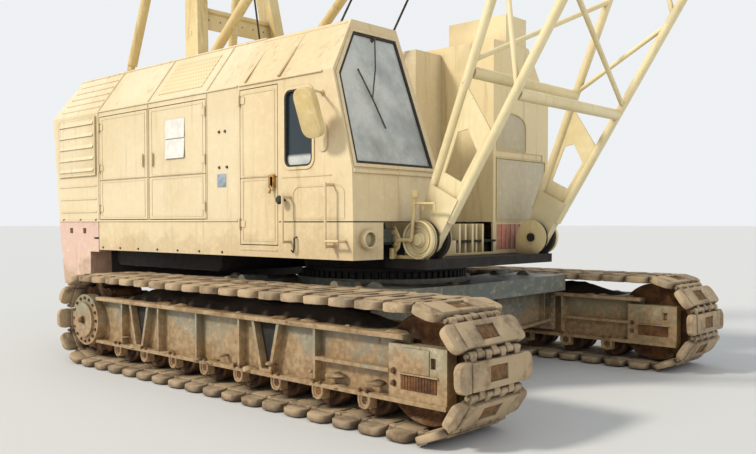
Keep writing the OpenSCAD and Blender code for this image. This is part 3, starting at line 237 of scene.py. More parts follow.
def paint(name, base, faded, rust=0.0, streaks=0.3, corner_shade=0.5, mud=0.0, mud_z=0.0):
    """Old brushed paint: fading, rain streaks, painted shade in corners, rust and dried mud."""
    s = Shader(name)
    colour = s.mottle(0.9, 5, 0.36, 0.64, base, faded)
    colour = s.mix(s.step(s.noise(14, 6, 0.7), 0.45, 0.8, 0.35), colour, "#fff1cf")
    runs = s.noise(1.0, 6, 0.6, (16, 16, 0.9))
    colour = s.mix(s.step(runs, 0.54, 0.74, streaks), colour, "#8a7146")
    # Painted shade: corners darkened towards brown by ambient occlusion
    colour = s.mix(s.times(s.corners(0.16), corner_shade), colour, "#6b5534")
    spots = s.noise(5.5, 12, 0.72)
    flakes = s.step(spots, 0.70 - 0.16 * rust, 0.735 - 0.14 * rust)
    colour = s.mix(flakes, colour, s.mottle(30, 6, 0.4, 0.6, "#5b2f17", "#8f5426"))
    if mud:
        low = s.step(s.axes()["Z"], mud_z + 0.45, mud_z, 0.62)
        cake = s.step(s.add(s.noise(3.2, 9, 0.68), s.times(low, 0.5)), 0.56, 0.74, mud)
        colour = s.mix(cake, colour, s.mottle(22, 8, 0.35, 0.65, "#8f7049", "#b2926a"))
        flakes = s.maths("MAXIMUM", flakes, cake)
    waves = s.add(s.times(s.noise(2.4, 3), 0.3), s.times(flakes, 0.35))
    s.bump(s.add(waves, s.times(s.noise(90, 4), 0.05)), 0.35, 0.02)
    return s.finish(colour, s.step(s.noise(6, 5), -0.9, 1.6, 0.8))


def soil_metal(name, base, dark, soil, cake=0.5, rough=0.85):
    """Bare rusty steel that is caked with dried soil, with painted shade in its corners."""
    s = Shader(name)
    colour = s.mottle(7, 10, 0.38, 0.62, base, dark, 0.7)
    cover = s.step(s.noise(3.4, 10, 0.68), 0.62 - 0.3 * cake, 0.72 - 0.2 * cake)
    colour = s.mix(cover, colour, s.mottle(24, 8, 0.36, 0.64, soil, "#c7ab85", 0.7))
    # Painted shade: corners darkened by ambient occlusion
    colour = s.mix(s.times(s.corners(0.12), 0.8), colour, "#38291b")
    s.bump(s.add(s.times(cover, 0.5), s.noise(38, 10, 0.75)), 0.75, 0.02)
    return s.finish(colour, rough)


def plain_metal(name, base, worn, rough, metal):
    """Greasy or bare steel."""
    s = Shader(name)
    colour = s.mottle(40, 6, 0.4, 0.62, base, worn)
    colour = s.mix(s.step(s.noise(6, 10, 0.7), 0.58, 0.68, 0.8), colour, "#6d4022")
    s.bump(s.noise(120, 4), 0.2, 0.004)
    return s.finish(colour, rough, metal)


def rope_wire(name):
    """Laid wire rope, dark with old grease."""
    s = Shader(name)
    colour = s.mottle(60, 6, 0.4, 0.6, "#2b2824", "#5a5146")
    inputs = {"Vector": s.place, "Scale": 22.0}
    lay = s.make("TexWave", inputs, wave_type="BANDS", bands_direction="DIAGONAL").outputs["Fac"]
    colour = s.mix(s.step(lay, 0.2, 0.8, 0.45), colour, "#171411")
    s.bump(lay, 0.6, 0.004)
    return s.finish(colour, 0.55, 0.4)


def dusty_glass(name):
    """Old window glass with a film of dust."""
    s = Shader(name)
    dust = s.add(s.step(s.noise(2.1, 8, 0.62), 0.3, 0.7, 0.5), 0.25)
    film = s.maths("MAXIMUM", dust, s.step(s.noise(1.0, 5, 0.6, (9, 9, 0.8)), 0.45, 0.75, 0.5))
    # The fixed side window is painted dark above its dusty lower edge and lets less light through there:
    # painted shade of the cab behind it
    axes = s.axes()
    side = s.times(s.step(axes["Y"], -1.455, -1.475), s.step(axes["Z"], 1.95, 1.985))
    clear = s.times(s.step(film, 0.75, 0.0, 0.72), s.maths("SUBTRACT", 1.0, s.times(side, 0.8)))
    s.put(s.bsdf.inputs["Transmission Weight"], clear)
    s.put(s.bsdf.inputs["IOR"], 1.45)
    colour = s.mix(side, s.mix(film, "#d4dad9", "#cfccc0"), "#2b363b")
    return s.finish(colour, s.step(film, -0.05, 1.2, 0.5))


def cover_cloth(name):
    """Black seat vinyl with fine grain and grey dust."""
    s = Shader(name)
    colour = s.mottle(5, 6, 0.4, 0.7, "#2c2a29", "#5a544c")
    s.bump(s.noise(240, 3), 0.4, 0.002)
    return s.finish(colour, 0.62)


def plain(name, base, other, rough=0.6, scale=30.0, metal=0.0):
    """A small part of one stuff, with slight mottling."""
    s = Shader(name)
    colour = s.mottle(scale, 5, 0.35, 0.65, base, other)
    s.bump(s.noise(scale * 4, 3), 0.15, 0.003)
    return s.finish(colour, rough, metal)


def pierced(name, base, faded):
    """Body paint with rows of small punched holes, choked with dust, drawn as dull dots."""
    s = Shader(name)
    colour = s.mottle(0.9, 5, 0.36, 0.64, base, faded)
    axes = s.axes()
    half_pitch = 0.0225
    across, upward = (s.maths("POWER", s.maths("PINGPONG", axes[k], half_pitch), 2.0) for k in "XZ")
    holes = s.step(s.add(across, upward), 0.00011, 0.00006)
    colour = s.mix(holes, colour, "#c2ae82")
    s.bump(s.times(holes, -1.0), 0.25, 0.003)
    return s.finish(colour, 0.6)


MATS = {
    "body": paint("body_paint", "#e6d1a6", "#dfc698", 0.14, streaks=0.34, mud=0.25, mud_z=1.05),
    "house": paint("house_paint", "#e6d3ac", "#dec89c", 0.12, streaks=0.32),
    "boom": paint("boom_paint", "#f0dfb0", "#e4cf9a", 0.3, streaks=0.2, corner_shade=0.55),
    "gantry": paint("gantry_paint", "#e4cd96", "#d5b878", 0.35, streaks=0.45, corner_shade=0.7),
    "ochre": paint("ochre_paint", "#f0d8a2", "#f0dcae", 0.2, streaks=0.35),
    "panel": paint("grey_panel", "#cfc2a2", "#c6b897", 0.05, streaks=0.2),
    "pink": paint("pink_paint", "#dcb6a4", "#e0bda6", 0.1, streaks=0.35, mud=0.5, mud_z=0.7),
    "stripe": paint("stripe_paint", "#c9806c", "#d39a80", 0.3, streaks=0.5),
    "frame": paint("frame_paint", "#8c8672", "#968a6c", 0.45, streaks=0.5, corner_shade=0.85, mud=0.85, mud_z=0.3),
    "car": paint("car_paint", "#6c716a", "#7a7767", 0.35, streaks=0.35, corner_shade=0.7, mud=0.6, mud_z=0.3),
    # Near-black paints for the turntable, the slewing ring and the sheets under the house: painted shade of
    # the dark gap between car body and house
    "deck": plain("painted_shade_black", "#2b2620", "#1e1a16", 0.85, 14.0),
    "ring": plain("painted_shade_ring", "#26221d", "#17140f", 0.6, 20.0, 0.3),
    "brass": plain("latch_paint", "#b98d45", "#8d652c", 0.6, 30.0, 0.2),
    "shoes": soil_metal("shoe_steel", "#ac977a", "#84684b", "#c4ab87", cake=0.8),
    "rusty": soil_metal("rusty_steel", "#8a5c2f", "#4f2e18", "#9a7850", cake=0.3),
    "dark_soil": soil_metal("dark_soil", "#3a2d20", "#271e16", "#4f3f2c", cake=0.15, rough=0.95),
    "pocket": plain("shoe_pocket", "#8a673f", "#664628", 0.9, 26.0),
    "mud": soil_metal("dry_mud", "#a2835b", "#87683f", "#b2946c", cake=0.8, rough=0.95),
    "steel": plain_metal("dark_steel", "#3f3b35", "#5b5348", 0.5, 0.6),
    "machine": plain_metal("machinery", "#5b6052", "#4a4c42", 0.6, 0.2),
    "rods": plain_metal("rod_steel", "#857a5c", "#6b6049", 0.5, 0.5),
    "rope": rope_wire("wire_rope"),
    "glass": dusty_glass("dusty_glass"),
    "cover": cover_cloth("seat_cover"),
    "rubber": plain("black_rubber", "#26241f", "#3a362f", 0.8),
    "pierced": pierced("pierced_panel", "#e6d1a2", "#dcc493"),
    "paper": plain("blank_paper", "#eeeae0", "#dedad0", 0.9, 12.0),
    "tin": plain("blank_plate", "#a4adb2", "#8598a6", 0.45, 26.0, 0.3),
    "lens": plain("lamp_lens", "#b9ad8c", "#a39774", 0.25, 60.0),
    "orange": plain("rust_trim", "#b5713c", "#8a4f28", 0.8, 40.0),
}

NODE_MATS = {
    "body": "skirts cab_shell cab_door handrails",
    "house": "house_r house_l house_rear louvres roof house_front "
    "side_door_r1 side_door_r2 side_door_l1 side_door_l2",
    "gantry": "gantry_posts gantry_legs strut_tubes",
    "boom": "boom_root_r boom_root_l boom_root_front boom_root_rear boom_top_r boom_top_l boom_top_front "
    "boom_top_rear boom_tip hook_block",
    "ochre": "front_block roof_box",
    "pink": "counterweight",
    "stripe": "grille",
    "frame": "side_frame_r side_frame_l final_drives",
    "car": "car_body tow_eyes",
    "deck": "turntable",
    "shoes": "track_r track_l",
    "rusty": "rollers_r rollers_l idlers drive_wheels",
    "ring": "slew_ring",
    "steel": "gantry_head hook",
    "machine": "engine winches levers",
    "rods": "strut_rods",
    "rope": "luff_falls bridle",
    "glass": "cab_panes",
    "cover": "seat",
}


def dress_nodes():
    """Every CAD node gets its material."""
    for mat, names in NODE_MATS.items():
        for name in names.split():
            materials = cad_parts[name].data.materials
            materials.clear()
            materials.append(MATS[mat])


# Shapes


def strip(bm, one, two, closed=True):
    """Faces between two rows with as many vertices."""
    n = len(one)
    for k in range(n if closed else n - 1):
        j = (k + 1) % n
        bm.faces.new((one[k], one[j], two[j], two[k]))


class Piece:
    """Collects closed shapes, then becomes one object that rides on a body."""

    def __init__(self, name, mat, slot=None, body="upperworks"):
        self.name, self.mat, self.slot, self.body = name, mat, slot, body
        self.bm = bmesh.new()

    def take(self, other, matrix=None):
        mesh = bpy.data.meshes.new("part")
        other.to_mesh(mesh)
        other.free()
        if matrix is not None:
            mesh.transform(matrix)
        self.bm.from_mesh(mesh)
        bpy.data.meshes.remove(mesh)

    def brick(self, a, b, edge=0.004, matrix=None):
        """A box between two opposite corners, with its edges broken."""
        bm = bmesh.new()
        lo, hi = (Vector([pick(pair) for pair in zip(a, b)]) for pick in (min, max))
        size = hi - lo
        bmesh.ops.create_cube(bm, size=1.0)
        bmesh.ops.scale(bm, vec=size, verts=bm.verts)
        bmesh.ops.translate(bm, vec=(lo + hi) / 2, verts=bm.verts)
        self.soften(bm, min(edge, min(size) * 0.3))
        self.take(bm, matrix)

    def soften(self, bm, edge):
        bmesh.ops.bevel(
            bm, geom=list(bm.edges), offset=edge, offset_type="OFFSET", segments=2,
            profile=0.5, affect="EDGES", clamp_overlap=True,
        )

    def slab(self, outline, a, b, axes, edge=0.004, matrix=None):
        """An outline in the plane of the first two axes, from a to b along the third."""
        bm = bmesh.new()
        order = [axes.index(c) for c in "xyz"]
        rings = [[bm.verts.new([(*p, t)[k] for k in order]) for p in outline] for t in (a, b)]
        bm.faces.new(rings[0])
        bm.faces.new(rings[1])
        strip(bm, *rings)
        bmesh.ops.recalc_face_normals(bm, faces=bm.faces)
        self.soften(bm, edge)
        self.take(bm, matrix)

    def sweep(self, points, radius, sides=12, closed=False):
        """A round tube along a path."""
        points = [Vector(p) for p in points]
        n = len(points)
        turns = [2 * pi * k / sides for k in range(sides)]
        rings = []
        for i, p in enumerate(points):
            before, after = (i - 1, (i + 1) % n) if closed else (max(i - 1, 0), min(i + 1, n - 1))
            along = (points[after] - points[before]).normalized()
            normal = (normal - along * normal.dot(along) if i else along.orthogonal()).normalized()
            side = along.cross(normal)
            rings.append([self.bm.verts.new(p + radius * (cos(t) * normal + sin(t) * side)) for t in turns])
        for one, two in zip(rings, rings[1:]):
            strip(self.bm, one, two)
        if closed:
            strip(self.bm, rings[-1], rings[0])
        else:
            self.bm.faces.new(rings[0][::-1])
            self.bm.faces.new(rings[-1])

    def rod(self, a, b, radius, sides=16):
        self.sweep([a, b], radius, sides)

    def lathe(self, profile, origin, axis, sides=32):
        """A profile of (radius, distance) pairs turned about an axis. It starts and ends on the axis."""
        bm = bmesh.new()
        rings = []
        for r, t in profile:
            turns = [2 * pi * k / sides for k in range(sides if r else 1)]
            rings.append([bm.verts.new((r * cos(a), r * sin(a), t)) for a in turns])
        for one, two in zip(rings, rings[1:]):
            for k in range(sides):
                j = (k + 1) % sides
                corners = [one[k % len(one)], one[j % len(one)], two[j % len(two)], two[k % len(two)]]
                corners = [c for i, c in enumerate(corners) if c not in corners[:i]]
                if len(corners) > 2:
                    bm.faces.new(corners)
        bmesh.ops.recalc_face_normals(bm, faces=bm.faces)
        turn = Vector(axis).normalized().to_track_quat("Z", "Y").to_matrix().to_4x4()
        self.take(bm, Matrix.Translation(Vector(origin)) @ turn)

    def pin(self, place, axis, radius, half, sides):
        """A plain pin, its middle at place."""
        self.lathe([(0, -half), (radius, -half), (radius, half), (0, half)], place, axis, sides)

    def bolt(self, place, axis, size=0.03):
        """A hexagon head on a washer, seated at place."""
        r = size / 2
        self.lathe([(0, -0.002), (r * 1.35, -0.002), (r * 1.35, r * 0.2), (0, r * 0.2)], place, axis, 12)
        self.lathe([(0, 0), (r, 0), (r, r * 1.1), (r * 0.8, r * 1.3), (0, r * 1.3)], place, axis, 6)

    def done(self, replaces=(), smooth=35.0):
        mesh = bpy.data.meshes.new(self.name)
        bmesh.ops.recalc_face_normals(self.bm, faces=self.bm.faces)
        self.bm.to_mesh(mesh)
        self.bm.free()
        mesh.materials.append(MATS[self.mat])
        mesh.polygons.foreach_set("use_smooth", [True] * len(mesh.polygons))
        mesh.set_sharp_from_angle(angle=radians(smooth))
        obj = bpy.data.objects.new(self.name, mesh)
        bpy.context.scene.collection.objects.link(obj)
        if replaces:
            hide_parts(*replaces)
        if self.body:
            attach(obj, self.body)
        return obj


def rim(piece, points, normal, inner, outer, low, high):
    """A mitred frame along a closed path, from inner to outer across and from low to high along normal."""
    n = Vector(normal).normalized()
    count = len(points)
    area = sum((points[i].cross(points[(i + 1) % count]) for i in range(count)), Vector())
    turn = 1.0 if area.dot(n) > 0 else -1.0
    rings = []
    for i, p in enumerate(points):
        a = (p - points[i - 1]).normalized()
        b = (points[(i + 1) % count] - p).normalized()
        out_a, out_b = a.cross(n) * turn, b.cross(n) * turn
        mitre = out_a + out_b
        mitre = mitre / max(mitre.dot(out_a), 0.2)
        section = rect(inner, low, outer, high)
        rings.append([piece.bm.verts.new(p + mitre * off + n * up) for off, up in section])
    for one, two in zip(rings, rings[1:] + rings[:1]):
        strip(piece.bm, one, two)


# Tracks

TRACK_LO, TRACK_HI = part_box("track_r")
TRACK_R = (TRACK_HI.z - TRACK_LO.z) / 2
SHOE_W = TRACK_HI.y - TRACK_LO.y
SHOE_T = 0.075
SHOES = 44
SHOE_TWIST = 0.012
CAST_DEPTH, CAST_SCALE = 0.0035, 17.0
END_X = (TRACK_HI.x - TRACK_LO.x) / 2 - TRACK_R
MID_R = TRACK_R - SHOE_T / 2
LOOP = 4 * END_X + 2 * pi * MID_R
SHOE_PITCH = LOOP / SHOES


def loop_at(u):
    """Place from the track's middle and outward angle at distance u along the loop."""
    half = LOOP / 2
    if u >= half:
        place, angle = loop_at(u - half)
        return -place, angle + 180
    if u < 2 * END_X:
        return Vector((u - END_X, 0, -MID_R)), -90.0
    a = (u - 2 * END_X) / MID_R - pi / 2
    return Vector((END_X + MID_R * cos(a), 0, MID_R * sin(a))), degrees(a)


def shoe_mesh():
    """One cast shoe: X along the track, Y across, Z outward."""
    shoe = Piece("shoe", "shoes")
    half = SHOE_PITCH / 2 - 0.034
    top, low, pin_z = SHOE_T / 2, -SHOE_T / 2, -0.009
    mid_w = SHOE_W / 2 - 0.12
    pocket_x, pocket_y = 0.05, 0.095
    for s in BOTH:
        shoe.brick((-half, s * pocket_y, low), (half, s * mid_w, top), 0.008)
    for s in BOTH:
        shoe.brick((s * pocket_x, -pocket_y - 0.01, low), (s * half, pocket_y + 0.01, top), 0.008)
    shoe.brick((-half + 0.01, -pocket_y - 0.01, low), (half - 0.01, pocket_y + 0.01, top - 0.016))
    # Hinge knuckles that take turns with the next shoe's, and the pin through them
    knuckles = 7
    step = 2 * mid_w / knuckles
    w = step / 2 - 0.004
    knuckle = [(0, -w), (0.022, -w), (0.028, -w + 0.006), (0.028, w - 0.006), (0.022, w), (0, w)]
    for k in range(knuckles):
        end = 1 if k % 2 else -1
        x, y = end * SHOE_PITCH / 2, -mid_w + (k + 0.5) * step
        shoe.lathe(knuckle, (x, y, pin_z), ACROSS, 14)
        shoe.brick((end * (half - 0.02), y - w + 0.006, low + 0.004), (x, y + w - 0.006, 0.016), 0.006)
    shoe.pin((SHOE_PITCH / 2, 0, pin_z), ACROSS, 0.014, mid_w + 0.02, 12)
    # Rounded pads at both sides
    pad_half, corner = SHOE_PITCH / 2 - 0.029, 0.06
    y0, y1 = mid_w - 0.006, SHOE_W / 2
    pad = [(-pad_half, y0), (pad_half, y0)]
    pad += arc(pad_half - corner, y1 - corner, corner, 0, 90, 4)
    pad += arc(corner - pad_half, y1 - corner, corner, 90, 90, 4)
    rivet = [(0, 0.02), (0.024, 0.02), (0.024, 0.0275), (0.016, 0.0325), (0, 0.0325)]
    for s in BOTH:
        shoe.slab([(x, s * y) for x, y in pad], -0.0275, 0.0285, "xyz", 0.012)
        shoe.lathe(rivet, (0.02, s * (y0 + 0.045), 0), UP, 12)
    mesh = bpy.data.meshes.new("shoe")
    shoe.bm.to_mesh(mesh)
    shoe.bm.free()
    return mesh


def under(name, mat, slot=None):
    return Piece(name, mat, slot, "undercarriage")


def build_tracks():
    """Each track's shoes round its loop, rough as cast, kept inside the CAD track's box."""
    shoe = shoe_mesh()
    for side in ("r", "l"):
        lo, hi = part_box("track_" + side)
        middle = (lo + hi) / 2
        belt = under("shoes_" + side, "shoes", "shoes")
        floors = under("shoe_pockets_" + side, "pocket")
        for i in range(SHOES):
            place, angle = loop_at((i + 0.5) * SHOE_PITCH)
            turn = Matrix.Rotation(radians(90 - angle), 4, "Y")
            shake = Matrix.Rotation(random.uniform(-SHOE_TWIST, SHOE_TWIST), 4, "Z")
            spot = Matrix.Translation(middle + place) @ turn @ shake
            floors.brick((-0.046, -0.09, 0.0), (0.046, 0.09, SHOE_T / 2 - 0.0145), 0.002, spot)
            copy = shoe.copy()
            copy.transform(spot)
            belt.bm.from_mesh(copy)
            bpy.data.meshes.remove(copy)
        for v in belt.bm.verts:
            v.co += CAST_DEPTH * noise.noise_vector(v.co * CAST_SCALE)
            v.co = Vector(max(a, min(b, c)) for c, a, b in zip(v.co, lo, hi))
        belt.done(replaces=["track_" + side])
        floors.done()


def soil_ridge(ridge, y, x0, x1, z, half, height):
    """A long heap of dried soil with an uneven crest, on top of a track frame."""
    rows = []
    steps = 70
    for i in range(steps + 1):
        x = x0 + (x1 - x0) * i / steps
        end = min(1.0, 8 * i / steps, 8 * (steps - i) / steps)
        row = []
        for k in range(9):
            t = k / 4 - 1
            rough = noise.noise(Vector((x * 3.1, y * 5 + t * 1.3, 2.0)))
            rough += 0.5 * noise.noise(Vector((x * 11, y + t * 4, 7.0)))
            crest = height * end * max(0.0, 1 - t * t) ** 0.6 * (0.86 + 0.3 * rough)
            row.append(ridge.bm.verts.new(at(x, y + t * half, z - 0.004 + max(0.0, crest))))
        rows.append(row)
    for one, two in zip(rows, rows[1:]):
        strip(ridge.bm, one, two, closed=False)
        ridge.bm.faces.new((one[0], two[0], two[8], one[8]))
    ridge.bm.faces.new(rows[0])
    ridge.bm.faces.new(rows[-1])


def soil_clods(spots, size):
    """Clods of dried soil, flattened and sunk into what carries them."""
    clods = under("soil_on_frames", "mud")
    for spot in spots:
        bm = bmesh.new()
        bmesh.ops.create_icosphere(bm, subdivisions=2, radius=1.0)
        r = size * random.uniform(0.5, 1.3)
        shift = Vector((random.uniform(0, 50), random.uniform(0, 50), 0))
        for v in bm.verts:
            v.co *= 1 + 0.45 * noise.noise(v.co * 1.3 + shift)
            v.co = Vector((v.co.x * r * 1.5, v.co.y * r, v.co.z * r * 0.42))
        clods.take(bm, Matrix.Translation(spot) @ Matrix.Rotation(random.uniform(0, 3.1), 4, "Z"))
    clods.done(smooth=60)


def build_undercarriage():
    """Bolts, shackles, soil and thin plates of the track frames and the car body."""
    lo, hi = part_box("side_frame_r")
    flange = (hi.y - lo.y) / 2
    bolts = under("frame_bolts", "rusty", "rusty_steel")
    shackles = under("roller_shackles", "frame", "frame_paint")
    for s, e in product(BOTH, BOTH):
        for x in (ROLLER_X + k * ROLLER_PITCH for k in range(ROLLERS)):
            for dx in (-0.035, 0.035):
                bolts.bolt(at(x + dx, s * FRAME_Y + e * (flange - 0.004), 0.272), (0, e, 0), 0.026)
            path = [(x + 0.05, 0.24)] + arc(x, 0.2, 0.05, 0, -180, 8) + [(x - 0.05, 0.24)]
            shackles.sweep(upright(path, s * FRAME_Y + e * (flange - 0.008)), 0.009, 8)
        # Final drive cover, on the outer side only
        if e == s:
            for place in upright(arc(*DRIVE, 0.215, 0, 360, 16), s * (FRAME_Y + flange + 0.019)):
                bolts.bolt(place, (0, s, 0), 0.026)
            bolts.bolt(at(DRIVE[0], s * (FRAME_Y + flange + 0.044), DRIVE[1]), (0, s, 0), 0.06)
        for z in (0.36, 0.44):
            bolts.bolt(at(1.94, s * FRAME_Y + e * (flange - 0.013), z), (0, e, 0), 0.034)
    bolts.done()
    shackles.done()
    # Bolts of the girders' end plates
    joints = under("girder_bolts", "car", "frame_paint")
    for sx, sy, dx, z in product(BOTH, BOTH, (-0.28, 0.28), (0.36, 0.46, 0.56, 0.64)):
        joints.bolt(at(sx * GIRDER_X + dx, sy * 1.415, z), (0, -sy, 0), 0.034)
    joints.done()
    spots = []
    for s in BOTH:
        for _ in range(70):
            x = random.uniform(-1.9, 2.25)
            y = s * FRAME_Y + random.choice(BOTH) * random.uniform(0.22, flange - 0.03)
            spots.append(at(x, y, 0.258 if random.random() < 0.8 else 0.33))
        for _ in range(26):
            x = random.uniform(-1.9, 1.9)
            spots.append(at(x, s * FRAME_Y + random.choice(BOTH) * random.uniform(0.2, 0.27), FRAME_TOP))
    for _ in range(50):
        y = random.uniform(-1.3, 1.3)
        x = random.choice((-GIRDER_X, GIRDER_X)) + random.uniform(-0.24, 0.24)
        spots.append(at(x, y, 0.847 + 0.064 * max(0.0, abs(y) - 0.7)))
    soil_clods(spots, 0.045)
    ridge = under("soil_ridges", "dark_soil")
    for s in BOTH:
        soil_ridge(ridge, s * FRAME_Y, -1.72, 1.72, FRAME_TOP, 0.17, 0.125)
    ridge.done(smooth=60)
    # Soil on the top flanges, near-black sheets inside the pockets as painted shade, rusty guard below the
    # lip of the end box
    cover = under("flange_soil", "mud")
    dark = under("pocket_shade_sheets", "deck", "frame_paint")
    guard = under("end_box_guards", "rusty", "rusty_steel")
    lips = under("end_box_lips", "frame", "frame_paint")
    # Piece, from and to outwards, from and to along the frame, bottom and top
    plates = [
        (cover, 0.21, 0.3015, -1.952, 2.022, 0.653, 0.6835),
        (guard, 0.284, 0.292, 2.0, 2.3, 0.327, 0.424),
        (lips, 0.284, 0.304, 1.985, 2.315, 0.427, 0.437),
        (lips, 0.286, 0.2945, 2.02, 2.24, 0.439, 0.6),
    ]
    for k in range(13):
        plates.append((guard, 0.288, 0.296, 2.004 + k * 0.0235, 2.015 + k * 0.0235, 0.332, 0.42))
    for s, e in product(BOTH, BOTH):
        for piece, near, far, x0, x1, z0, z1 in plates:
            piece.brick(at(x0, s * FRAME_Y + e * near, z0), at(x1, s * FRAME_Y + e * far, z1), 0.002)
        # Painted shade: a thin near-black sheet inside each pocket
        for x in (-1.19, 0.62):
            inside = [(x - 0.134, 0.649), (x + 0.134, 0.649), (x + 0.04, 0.291), (x - 0.04, 0.291)]
            dark.slab(from_axis(inside), s * FRAME_Y + e * 0.2215, s * FRAME_Y + e * 0.225, "xzy", 0.001)
    for piece in (cover, dark, guard, lips):
        piece.done()
    # Lugs and bosses on the car body's girders
    lugs = under("car_body_lugs", "car", "frame_paint")
    outline = [(-1.03, 0.85), (-0.8, 0.85), (-0.89, 0.918), (-0.93, 0.926), (-0.97, 0.91)]
    for sx, sy in product(BOTH, BOTH):
        lugs.slab(from_axis([(-sx * x, z) for x, z in outline]), sy * 1.1, sy * 1.15, "xzy", 0.006)
        lugs.rod(at(sx * 0.62, sy * 1.02, 0.865), at(sx * 0.62, sy * 1.3, 0.875), 0.05, 20)
    lugs.done()


# Machine house


def build_house():
    """Seams, ribs, gutters, louvres, pierced panels, bolts and blank plates of the machine house."""
    trim = Piece("house_trim", "house", "body_paint")
    for s in BOTH:
        # Gutter along the roof edge, drip rail over the doors and sill under them
        y, z = s * (ROOF_Y - 0.004), ROOF_Z + 0.004
        trim.rod(at(HOUSE_REAR + 0.08, y, z), at(CAB_REAR_X, y, z), 0.012, 8)
        y, z = s * (SIDE_Y + 0.002), CHAMFER_Z - 0.004
        trim.brick(at(REAR_X, y - 0.008, z - 0.008), at(CAB_REAR_X, y + 0.008, z + 0.008), 0.003)
        y, z = s * (SIDE_Y + 0.003), DOOR_Z0 + 0.01
        trim.brick(at(-3.8, y - 0.007, z - 0.008), at(CAB_REAR_X, y + 0.007, z + 0.008), 0.003)
        # Folded seams across the chamfer and down the side
        for x in (REAR_X + 0.004, SEAM_X, FRONT_SEAM_X):
            bend = at(x, s * (SIDE_Y + 0.002), CHAMFER_Z)
            trim.sweep([bend, at(x, s * (ROOF_Y + 0.002), ROOF_Z)], 0.009, 6)
            trim.rod(at(x, s * (SIDE_Y + 0.001), DOOR_Z0 + 0.02), bend, 0.006, 6)
        # Pressed ribs of the rear shell, on its side and on its chamfer
        ribs = []
        for z in (1.53, 1.675, 1.82):
            ribs.append((0.07 + 0.14 * (CHAMFER_Z - z) / (CHAMFER_Z - DOOR_Z0), SIDE_Y, z))
        for t in (0.14, 0.31, 0.48, 0.65, 0.82):
            y, z = SIDE_Y + (ROOF_Y - SIDE_Y) * t, CHAMFER_Z + (ROOF_Z - CHAMFER_Z) * t
            ribs.append((0.13 + 0.05 * t, y, z))
        for x, y, z in ribs:
            trim.rod(at(HOUSE_REAR + x, s * (y + 0.001), z), at(REAR_X - 0.05, s * (y + 0.001), z), 0.008, 6)
    # Ribs across the roof
    for x in (-3.2, -2.7, -1.4, -0.98):
        trim.brick(at(x, -1.05, ROOF_Z - 0.002), at(x + 0.04, 1.05, ROOF_Z + 0.016), 0.006)
    # Edge frame round the slot for the hoist ropes, and two lifting eyes at the rear
    rim(trim, [at(x, y, ROOF_Z) for x, y in rect(-0.9, -0.33, -0.4, 0.06)], UP, 0.002, 0.03, -0.002, 0.03)
    for s in BOTH:
        trim.sweep(upright(arc(-3.6, ROOF_Z + 0.05, 0.06, 0, 360, 16), s * 0.5), 0.014, 8, closed=True)
    trim.done()
    # Pressed louvre sheets over the air openings of the rear shell
    covers = Piece("louvre_covers", "house", "body_paint")
    x0, z0, x1, z1 = HOUSE_REAR + 0.165, 1.942, REAR_X - 0.05, 2.58
    hood = [(1.5175, 0.026), (1.531, -0.012), (1.531, -0.016), (1.5175, -0.016)]
    for s in BOTH:
        covers.brick(at(x0, s * 1.5145, z0), at(x1, s * 1.5185, z1), 0.001)
        rim(covers, upright(rect(x0, z0, x1, z1), s * SIDE_Y), (0, s, 0), -0.01, 0.006, -0.001, 0.02)
        for z in (2.0, 2.13, 2.26, 2.39, 2.52):
            line = [(s * out, z + up) for out, up in hood]
            covers.slab(line, AXIS_X + x0 + 0.03, AXIS_X + x1 - 0.03, "yzx", 0.0015)
    covers.done()
    # Pierced cooling panels in the chamfer
    lean = atan2(SIDE_Y - ROOF_Y, ROOF_Z - CHAMFER_Z)
    vents = Piece("pierced_panels", "pierced", "body_paint")
    for s in BOTH:
        mid = at((SEAM_X + FRONT_SEAM_X) / 2 - 0.01, s * (SIDE_Y + ROOF_Y) / 2, (CHAMFER_Z + ROOF_Z) / 2)
        place = Matrix.Translation(mid) @ Matrix.Rotation(s * lean, 4, "X")
        vents.brick((-0.375, -0.006, -0.21), (0.375, 0.006, 0.21), 0.003, place)
    vents.done()
    hardware = Piece("house_hardware", "machine", "machinery")
    for x, z in ((-0.675, 2.24), (-0.587, 2.24), (-0.675, 1.915), (-0.56, 1.915)):
        hardware.bolt(at(x, -SIDE_Y, z), TO_RIGHT, 0.022)
    for s in BOTH:
        for x in (-3.7, -3.3, -2.95):
            hardware.bolt(at(x, s * SIDE_Y, 1.44), (0, s, 0), 0.02)
        for k in range(7):
            hardware.bolt(at(-2.8 + k * 0.36, s * SIDE_Y, 1.14), (0, s, 0), 0.018)
    hardware.done()
    # Rusty strip under the roof's front edge
    edge = Piece("roof_rust_strip", "orange", "rusty_steel")
    edge.brick(at(-0.86, -ROOF_Y - 0.004, ROOF_Z - 0.012), at(-0.42, -ROOF_Y + 0.02, ROOF_Z + 0.016))
    edge.done()
    build_notice()
    plate = Piece("blank_plate", "tin")
    plate.brick(at(-0.705, -SIDE_Y - 0.004, 1.735), at(-0.575, -SIDE_Y + 0.002, 1.855), 0.002)
    plate.done()


def build_notice():
    """Two blank sheets of paper on the front right door, curling at their lower edges."""
    paper = Piece("blank_notice", "paper", None, "door_right_front")
    rows, cols = 6, 8
    for z0, z1, bend in ((2.235, 2.42, 0.004), (2.04, 2.225, 0.012)):
        for shift in (0.0, 0.0012):
            verts = []
            for i in range(rows + 1):
                z = z0 + (z1 - z0) * i / rows
                curl = bend * (1 - i / rows) ** 2
                verts.append([])
                for x in (-1.555 + 0.325 * j / cols for j in range(cols + 1)):
                    y = -SIDE_Y - 0.003 - curl - abs(0.0015 * sin(9 * x + 7 * z))
                    verts[-1].append(paper.bm.verts.new(at(x, y + shift, z)))
            for one, two in zip(verts, verts[1:]):
                strip(paper.bm, one, two, closed=False)
    paper.done()


